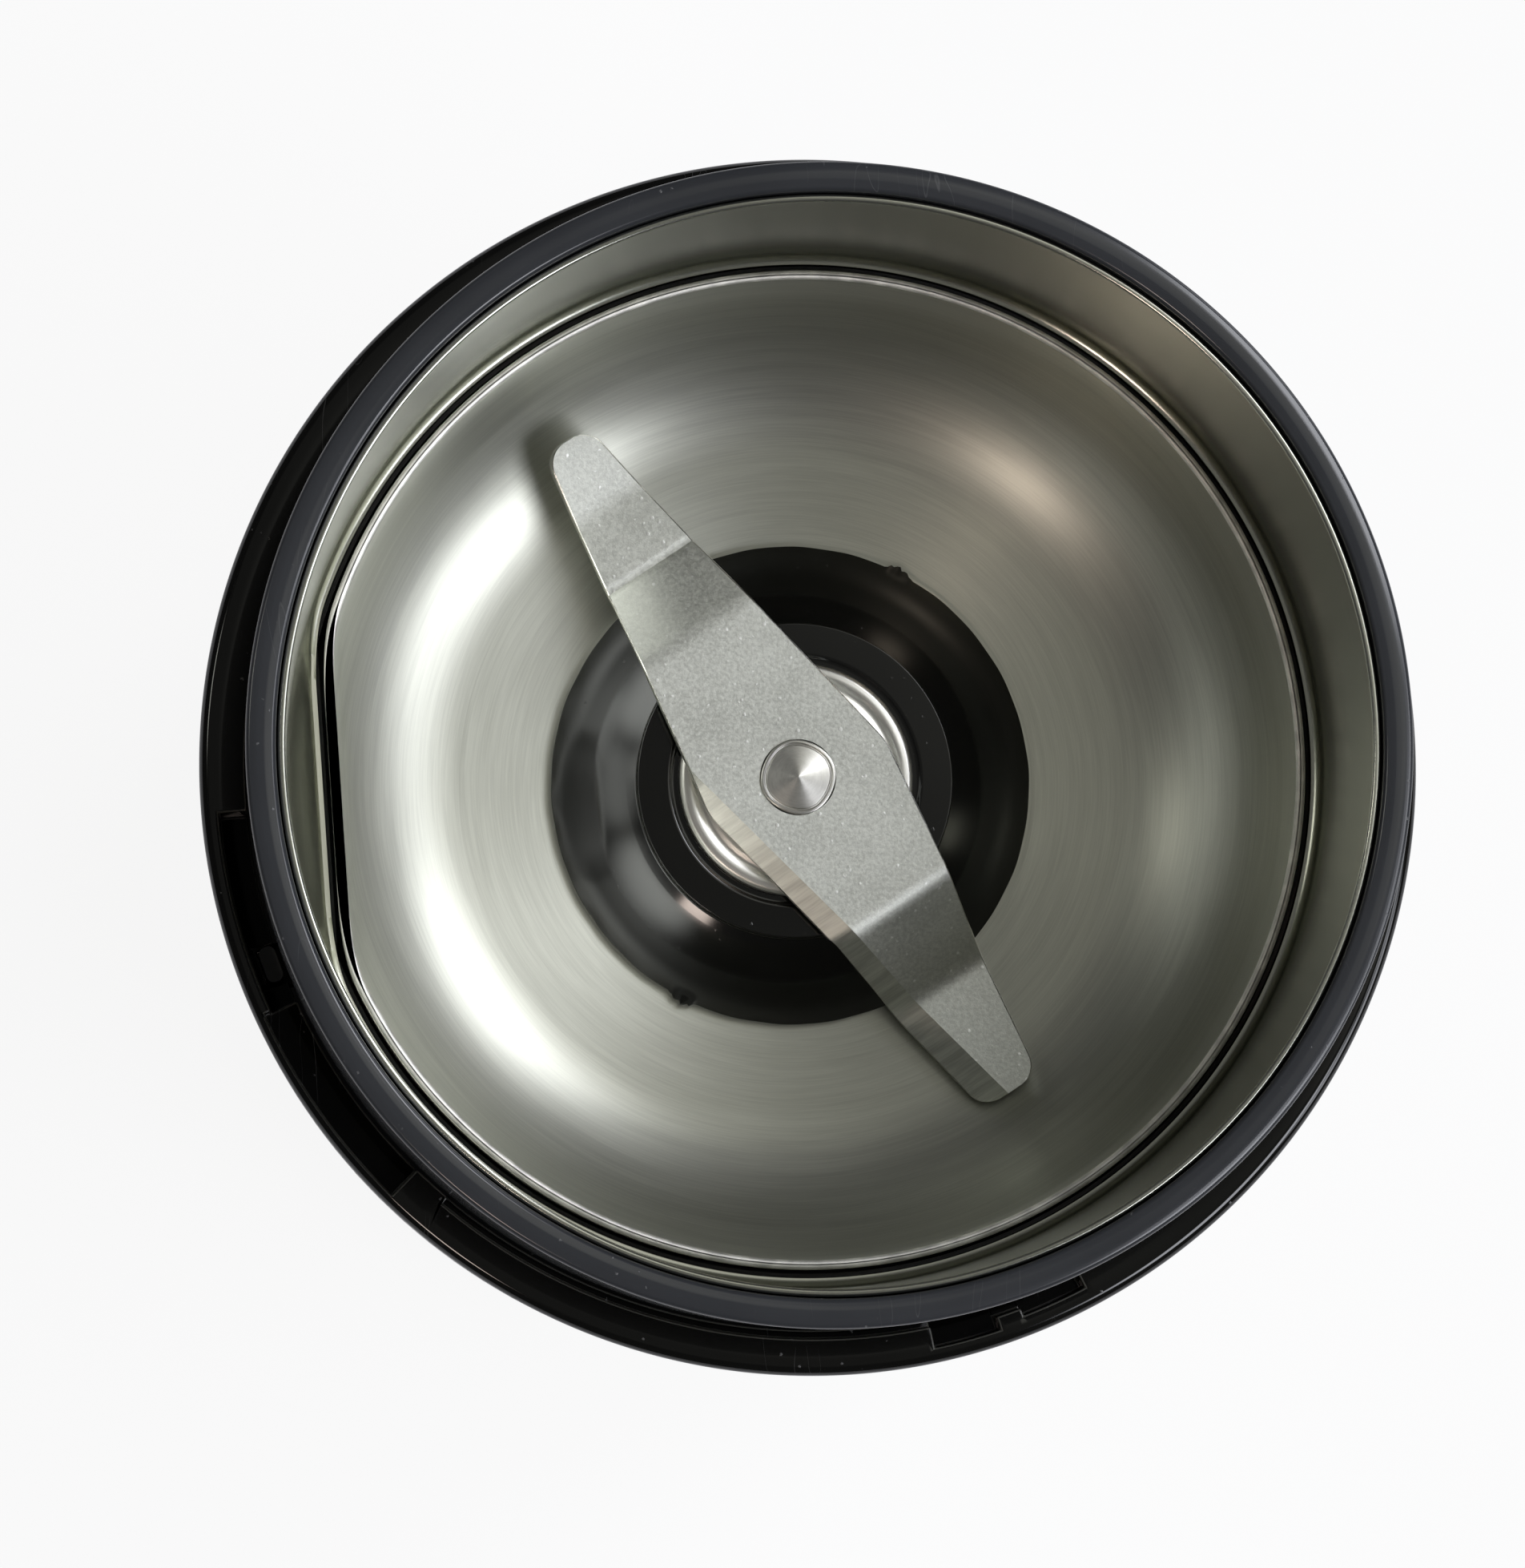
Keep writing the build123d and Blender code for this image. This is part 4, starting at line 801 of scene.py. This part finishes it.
class GRINDER_OT_sleeve(bpy.types.Operator):
    """Build the steel sleeve that lines the well"""

    bl_idname = "grinder.sleeve"
    bl_label = "Well sleeve"

    def execute(self, context):
        blend = context.scene.grinder_sizes.flat_blend
        wall = rounded([
            (shelf_bore, sleeve_under),
            (sleeve_radius, sleeve_under, 1.4 * mm),
            (sleeve_radius, sleeve_top, sheet_edge),
            (sleeve_bore, sleeve_top, sheet_edge),
            (sleeve_bore, shelf_top, 0.8 * mm),
            (shelf_bore, shelf_top, sheet_edge),
        ], steps=8)
        dense = thicken(wall, 0.6 * mm)
        inside = pressed_flat(sleeve_flat, sleeve_lean, shelf_top, blend)
        outside = pressed_flat(sleeve_flat + 0.62 * mm, sleeve_lean, shelf_top, blend)
        mouth = pressed_flat(mouth_flat, 0.0, 0.0, blend)
        shelf_end = 40.3 * mm
        sheet_middle = (sleeve_bore + sleeve_radius) / 2

        def shape(angle, radius, height):
            if radius < shelf_end and height < shelf_top + 0.05 * mm:
                return mouth(angle, radius, height)
            if radius > sheet_middle or height < shelf_top - 0.1 * mm:
                return outside(angle, radius, height)
            return inside(angle, radius, height)

        points, faces = lathe(dense, turns=640, shape=shape)
        piece("steel_sleeve", points, faces, "housing", [finishes["sleeve"]],
              ["well_sleeve"])
        return {"FINISHED"}


class GRINDER_OT_bowl(bpy.types.Operator):
    """Build the steel bowl"""

    bl_idname = "grinder.bowl"
    bl_label = "Grinding bowl"

    def execute(self, context):
        sizes = context.scene.grinder_sizes
        corner = sizes.bowl_corner
        edge = sizes.lip_edge
        wall = rounded([
            (bowl_hole, seat_level - bowl_wall),
            (floor_start, seat_level - bowl_wall, floor_round),
            (bowl_radius, wall_foot - bowl_wall, corner + bowl_wall),
            (bowl_radius, lip_top, edge),
            (bowl_bore, lip_top, edge),
            (bowl_bore, wall_foot, corner),
            (floor_start, seat_level, floor_round),
            (bowl_hole, seat_level),
        ], steps=16)
        dense = thicken(wall, 0.8 * mm)
        inner_flat = pressed_flat(flat_place - bowl_wall, 0.0, 0.0, sizes.flat_blend)
        outer_flat = pressed_flat(flat_place, 0.0, 0.0, sizes.flat_blend)

        def shape(angle, radius, height):
            outside = wall_outside(radius, height, corner)
            return (outer_flat if outside else inner_flat)(angle, radius, height)

        points, faces = lathe(dense, turns=512, shape=shape)
        made = piece("steel_bowl", points, faces, "bowl", [finishes["steel"]],
                     ["grinding_bowl"])
        # The faces of the rolled lip get the lighter lip finish, a painted highlight.
        second_finish(made, finishes["lip"], lambda middle: middle.z > lip_top - 0.5 * edge)
        return {"FINISHED"}


def wall_outside(radius, height, corner):
    """Whether a point of the bowl's outline is on its outer face."""
    middle_radius = bowl_bore - corner
    middle_height = corner_foot + corner
    if height > middle_height:
        return radius > bowl_bore + bowl_wall / 2
    if radius > middle_radius:
        return hypot(radius - middle_radius, height - middle_height) > corner + bowl_wall / 2
    return False


class GRINDER_OT_hub(bpy.types.Operator):
    """Build the glossy hub in the floor of the bowl"""

    bl_idname = "grinder.hub"
    bl_label = "Bowl hub"

    def execute(self, context):
        dome_round = 19.0 * mm
        boss_dip = 0.1 * mm  # of the boss's top, under the washer
        outline = rounded([
            (hub_bore, tube_under),
            (tube_radius, tube_under),
            (tube_radius, hub_under),
            (plug_radius, hub_under),
            (plug_radius, seat_level),
            (hub_radius, seat_level),
            (hub_radius, hub_edge_top, 0.15 * mm),
            (16.6 * mm, hub_edge_top + 2.3 * mm, dome_round),
            (boss_radius, hub_edge_top + 3.7 * mm, 0.2 * mm),
            (boss_radius, boss_top, 0.1 * mm),
            (10.2 * mm, boss_top, 0.6 * mm),
            (9.9 * mm, boss_top - boss_dip, 0.6 * mm),
            (hub_bore, boss_top - boss_dip),
        ])
        points, faces = lathe(thicken(outline, 0.5 * mm), turns=512, shape=self.lugs)
        piece("hub_disc", points, faces, "bowl", [finishes["hub"]], ["bowl_hub"])
        return {"FINISHED"}

    @staticmethod
    def lugs(angle, radius, height):
        """The two ragged lugs on the disc's edge, and its slightly uneven outline."""
        edge_start = 18.9 * mm
        if radius < edge_start:
            return radius
        share = min(1.0, (radius - edge_start) / (0.5 * mm))
        push = 0.03 * mm * sin(angle * 23) * sin(angle * 7 + 1)
        for middle in lug_angles:
            away = (degrees(angle) - middle + 180) % 360 - 180
            ragged = 0.75 + 0.25 * sin(away * 3.1) + 0.15 * sin(away * 7.7)
            push += 0.5 * mm * ragged * max(0.0, 1 - (away / 3.4) ** 4)
        return radius + push * share


# Blade, in millimetres. Places along it run from the tip of its high arm to the tip of its low arm.
high_tip = -32.7
low_tip = 30.5
blade_line = [(-40.0, 0.2), (high_tip, -0.7), (-26.6, -1.8), (-20.6, -1.8), (-14.2, 0.0), (12.9, 0.0),
              (20.2, -5.3), (low_tip, -5.3), (40.0, -5.3)]
blade_top = span("grinding_blade")[1] / mm
blade_thick = 1.6
tip_round = 1.6
left_edge = [(high_tip, -2.4), (-1.4, -7.55), (low_tip, -1.8)]
right_edge = [(high_tip, 1.75), (1.4, 7.55), (low_tip, 3.4)]
corner_softness = 0.8
press_mark = (-20.7, 0.13, 0.32)  # place, depth and width of the dent at the high arm's bend
bevel_start = 7.0  # from the middle, on the other arm
bevel_run_in = 2.0
bevel_width = 2.5
bevel_depth = 1.1
least_land = 0.6  # between a bevel and the far edge
least_edge = 0.3  # thickness left at a bevel's edge
edge_round = 0.12
across_steps = 10
ring_points = 2 * (across_steps + 1) + 8


class GRINDER_OT_blade(bpy.types.Operator):
    """Build the bent two-armed blade with its ground edges"""

    bl_idname = "grinder.blade"
    bl_label = "Blade"

    def execute(self, context):
        softness = context.scene.grinder_sizes.bend_softness / mm
        stations = blade_stations()
        points = []
        for along in stations:
            points.extend(blade_section(along, softness))
        faces = []
        marks = []
        for index in range(len(stations) - 1):
            here, there = index * ring_points, (index + 1) * ring_points
            for row in range(ring_points):
                up = (row + 1) % ring_points
                faces.append((here + row, here + up, there + up, there + row))
                marks.append(edge_finish(stations[index], row))
        faces.append(tuple(reversed(range(ring_points))))
        faces.append(tuple(range(len(points) - ring_points, len(points))))
        marks += [0, 0]
        turn = Matrix.Rotation(blade_angle, 4, "Z")
        points = [turn @ Vector((x * mm, y * mm, z * mm)) for x, y, z in points]
        made = piece("steel_blade", points, faces, "blade",
                     [finishes["blasted"], finishes["ground"], finishes["worn"]], ["grinding_blade"],
                     crease=17.0)
        for face, mark in zip(made.data.polygons, marks):
            face.material_index = mark
        cut(made, [round_cutter(washer_hole, 111 * mm, 115 * mm)])
        return {"FINISHED"}


def along_line(line, place):
    """Height of a broken line at a place."""
    for (near, low), (far, high) in zip(line, line[1:]):
        if place <= far or (far, high) == line[-1]:
            return low + (high - low) * (place - near) / (far - near)
    return line[-1][1]


def soft_line(line, place, softness):
    """Height of a broken line with its corners spread over a length."""
    count = 12
    near = [place + softness * (2 * step / count - 1) for step in range(count + 1)]
    return sum(along_line(line, spot) for spot in near) / (count + 1)


def tip_inset(along):
    """How far a rounded tip corner pulls the side in."""
    gap = min(along - high_tip, low_tip - along)
    if gap >= tip_round:
        return 0.0
    return tip_round - sqrt(max(0.0, tip_round ** 2 - (tip_round - gap) ** 2))


def blade_stations():
    """Places along the blade, closer together at its tips."""
    spacing = 0.25
    insets = [tip_round * (1 - cos(radians(step * 7.5))) for step in range(13)]
    places = [high_tip + inset for inset in insets]
    place = high_tip + tip_round + spacing
    while place < low_tip - tip_round:
        places.append(place)
        place += spacing
    places += [low_tip - inset for inset in reversed(insets)]
    return places


def blade_section(along, softness):
    """Ring of points round the blade at a place along it."""
    inset = tip_inset(along)
    left = soft_line(left_edge, along, corner_softness) + inset
    right = soft_line(right_edge, along, corner_softness) - inset
    mark_place, mark_depth, mark_width = press_mark
    mark = mark_depth * exp(-((along - mark_place) / mark_width) ** 2)
    height = soft_line(blade_line, along, softness) - mark
    step = 0.05
    rise = soft_line(blade_line, along + step, softness) - soft_line(blade_line, along - step, softness)
    slope = rise / (2 * step)
    length = sqrt(1 + slope ** 2)
    down = (slope / length, -1 / length)

    low_line = left + edge_round
    low_depth = 0.0
    if along > -bevel_start:
        low_line = max(low_line, min(right - least_land, -5.8 + 0.205 * along))
        low_depth = min(1.0, (along + bevel_start) / bevel_run_in)
    high_line = right - edge_round
    high_depth = 0.0
    if along < bevel_start:
        high_line = min(high_line, max(left + least_land, 5.26 + 0.198 * along))
        high_depth = min(1.0, (bevel_start - along) / bevel_run_in)

    def point(across, below):
        return (along + down[0] * below, across, blade_top + height + down[1] * below)

    rate = bevel_depth / bevel_width
    left_drop = min(blade_thick - least_edge, (low_line - left) * rate) * low_depth
    right_rise = min(blade_thick - least_edge, (right - high_line) * rate) * high_depth
    right_foot = blade_thick - right_rise
    near, twice, over = edge_round * 0.3, edge_round * 2, edge_round * 2.4
    ring = []
    for step in range(across_steps + 1):
        ring.append(point(low_line + (right - edge_round - low_line) * step / across_steps, 0.0))
    ring.append(point(right - near, near))
    ring.append(point(right, edge_round))
    ring.append(point(right, max(twice, right_foot - edge_round)))
    ring.append(point(right - near, max(over, right_foot - near)))
    for step in range(across_steps + 1):
        ring.append(point(high_line + (left + edge_round - high_line) * step / across_steps, blade_thick))
    ring.append(point(left + near, blade_thick - near))
    ring.append(point(left, blade_thick - edge_round))
    ring.append(point(left, min(blade_thick - twice, left_drop + edge_round)))
    ring.append(point(left + near, min(blade_thick - over, left_drop + near)))
    return ring


def edge_finish(along, row):
    """Slot of a face: 1 for those that were ground, 2 for the worn edges of the top, 0 for the rest."""
    last = ring_points - 1
    if row == last and along > -bevel_start:
        return 1
    if row == across_steps + 4 and along < bevel_start:
        return 1
    if row in (across_steps, across_steps + 1, last - 1, last):
        return 2
    return 0


class GRINDER_OT_shaft(bpy.types.Operator):
    """Build the blade's shaft with its riveted end"""

    bl_idname = "grinder.shaft"
    bl_label = "Shaft"

    def execute(self, context):
        groove_radius = 3.4 * mm
        groove_under, groove_top = 96.58 * mm, 97.38 * mm
        fine_round = 0.05 * mm
        outline = rounded([
            (0.0, shaft_under),
            (shaft_radius, shaft_under, 0.3 * mm),
            (shaft_radius, groove_under),
            (groove_radius, groove_under),
            (groove_radius, groove_top),
            (shaft_radius, groove_top),
            (shaft_radius, washer_under),
            (neck_radius, washer_under),
            (neck_radius, rivet_top - 0.45 * mm, 0.12 * mm),
            (2.75 * mm, rivet_top - 0.42 * mm, fine_round),
            (2.62 * mm, rivet_top - 0.54 * mm, fine_round),
            (2.5 * mm, rivet_top - 0.4 * mm, fine_round),
            (0.0, rivet_top),
        ], steps=5, support=0.02 * mm)

        def shape(angle, radius, height):
            """The riveted head is slightly squared."""
            if height < rivet_top - 0.65 * mm:
                return radius
            return radius * (1 + 0.02 * cos(4 * (angle - radians(20))))

        points, faces = lathe(outline, turns=192, shape=shape, closed=False)
        piece("shaft_and_rivet", points, faces, "blade", [finishes["turned"]],
              ["blade_shaft"])
        return {"FINISHED"}


class GRINDER_OT_washer(bpy.types.Operator):
    """Build the bright washer under the blade, with a shallow groove near its edge"""

    bl_idname = "grinder.washer"
    bl_label = "Washer"

    def execute(self, context):
        outline = rounded([
            (washer_hole, washer_under),
            (washer_radius, washer_under, 0.1 * mm),
            (washer_radius, washer_top - 0.12 * mm, 0.5 * mm),
            (8.55 * mm, washer_top, 1.2 * mm),
            (7.9 * mm, washer_top - 0.18 * mm, 0.8 * mm),
            (7.3 * mm, washer_top, 0.8 * mm),
            (washer_hole, washer_top),
        ], steps=8, support=0.02 * mm)
        points, faces = lathe(outline, turns=256)
        piece("bright_washer", points, faces, "blade", [finishes["bright"]],
              ["blade_washer"])
        return {"FINISHED"}


plain_finishes = {
    "satin": ["base_plate", "bowl_base", "motor_fan", "brush_bracket", "interlock_rod", "switch_holder",
              "microswitch"],
    "black": ["housing_shell"],
    "rubber": ["rubber_feet", "bowl_seal", "blade_shaft_seal", "motor_mounts", "cord_inlet"],
    "zinc": ["base_screws", "bowl_screws", "shaft_circlip", "drive_coupling", "motor_bracket", "motor_bolts",
             "brush_springs", "mount_screws", "return_spring", "switch_lever", "thermal_fuse"],
    "bronze": ["blade_bush", "upper_bearing", "lower_bearing", "brush_holders"],
    "nylon": ["thrust_washer", "driven_coupling", "terminal_block", "suppression_capacitor"],
    "bright": ["motor_shaft"],
    "iron": ["armature_core", "stator_core"],
    "winding": ["armature_winding", "field_coils"],
    "copper": ["commutator"],
    "carbon": ["carbon_brushes"],
    "lead": ["internal_leads"],
}


class GRINDER_OT_solids(bpy.types.Operator):
    """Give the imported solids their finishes"""

    bl_idname = "grinder.solids"
    bl_label = "Finish the packed solids"

    def execute(self, context):
        for finish, nodes in plain_finishes.items():
            for node in nodes:
                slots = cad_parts[node].data.materials
                slots.clear()
                slots.append(finishes[finish])
        return {"FINISHED"}


class GRINDER_OT_stage(bpy.types.Operator):
    """Set up the floor, the light and the camera"""

    bl_idname = "grinder.stage"
    bl_label = "Stage"

    floor_glow = 0.9  # share of plain white in the floor; the rest takes the shadow

    def execute(self, context):
        self.floor()
        self.room(context, context.scene.grinder_lights)
        self.camera(context)
        context.scene.view_settings.view_transform = "Standard"
        return {"FINISHED"}

    def floor(self):
        mesh = bpy.data.meshes.new("floor")
        reach = 3.0
        mesh.from_pydata([(-reach, -reach, 0), (reach, -reach, 0), (reach, reach, 0), (-reach, reach, 0)],
                         [], [(0, 1, 2, 3)])
        made = bpy.data.objects.new("floor", mesh)
        bpy.context.scene.collection.objects.link(made)
        paper = Finish("floor_paper", **{"Base Color": (0.9, 0.9, 0.9), "Roughness": 0.9})
        glow = paper.node("Emission", {}, {"Color": (1.0, 1.0, 1.0), "Strength": 1.0})
        rays = paper.node("LightPath", {}, {})
        amount = rays.level("Is Camera Ray") * self.floor_glow
        mixed = paper.node("MixShader", {}, {0: amount, 1: paper.shader.link(), 2: glow.link()})
        paper.feed(paper.output.inputs["Surface"], mixed.link())
        mesh.materials.append(paper.material)

    def room(self, context, lights):
        dome = Dome("studio", lights.room)
        cool, plain, warm = (0.97, 0.99, 1.06), (1.0, 1.0, 0.9), (1.0, 0.84, 0.74)
        # Angle from overhead, angle round the axis and size in degrees, strength, colour
        lamps = [
            (40, 36, 11, lights.key, cool),
            (40, -36, 11, lights.key * 1.05, cool),
            (42, 0, 9, lights.key * 0.55, cool),
            (60, -18, 10, lights.key * 0.7, cool),
            (78, 45, 11, lights.key * 0.3, cool),
            (36, 234, 4, lights.fill * 2.2, warm),
            (38, 165, 4, lights.fill * 0.8, plain),
            (24, 38, 14, lights.top * 9, plain),
            (0, 0, 26, lights.top, plain),
        ]
        for tilt, turn, size, strength, shade in lamps:
            dome.lamp(radians(tilt), radians(turn), radians(size), strength, shade)
        dome.finish()
        context.scene.world = dome.world

    def camera(self, context):
        data = bpy.data.cameras.new("camera")
        data.sensor_fit = "HORIZONTAL"
        data.sensor_width = 36.0
        data.lens = 152.05
        data.clip_start = 0.01
        data.clip_end = 20.0
        made = bpy.data.objects.new("camera", data)
        place = Vector((-39.070, -40.339, 625.261)) * mm
        aim = Vector((-3.886, -1.692, 128.0)) * mm
        back = (place - aim).normalized()
        up = (Vector((0, 1, 0)) - back * back.y).normalized()
        side = up.cross(back)
        made.matrix_world = Matrix((
            (side.x, up.x, back.x, place.x),
            (side.y, up.y, back.y, place.y),
            (side.z, up.z, back.z, place.z),
            (0, 0, 0, 1),
        ))
        context.scene.collection.objects.link(made)
        context.scene.camera = made


class GRINDER_PT_panel(bpy.types.Panel):
    """The grinder's settings and steps"""

    bl_idname = "GRINDER_PT_panel"
    bl_label = "Spice Grinder"
    bl_space_type = "VIEW_3D"
    bl_region_type = "UI"
    bl_category = "Spice Grinder"

    def draw(self, context):
        for group in groups:
            for name in group.__annotations__:
                self.layout.prop(getattr(context.scene, groups[group]), name)
        for step in steps:
            self.layout.operator(step.bl_idname)


groups = {GrinderSizes: "grinder_sizes", GrinderColours: "grinder_colours", GrinderLights: "grinder_lights"}
steps = [
    GRINDER_OT_stage,
    GRINDER_OT_finishes,
    GRINDER_OT_solids,
    GRINDER_OT_rim,
    GRINDER_OT_ledge,
    GRINDER_OT_sleeve,
    GRINDER_OT_bowl,
    GRINDER_OT_hub,
    GRINDER_OT_blade,
    GRINDER_OT_shaft,
    GRINDER_OT_washer,
]


def register():
    for group, name in groups.items():
        bpy.utils.register_class(group)
        setattr(bpy.types.Scene, name, bpy.props.PointerProperty(type=group))
    for step in steps:
        bpy.utils.register_class(step)
    bpy.utils.register_class(GRINDER_PT_panel)


def unregister():
    bpy.utils.unregister_class(GRINDER_PT_panel)
    for step in reversed(steps):
        bpy.utils.unregister_class(step)
    for group, name in groups.items():
        delattr(bpy.types.Scene, name)
        bpy.utils.unregister_class(group)


def main():
    register()
    for step in steps:
        group, name = step.bl_idname.split(".")
        getattr(getattr(bpy.ops, group), name)()


if __name__ == "__main__":
    main()
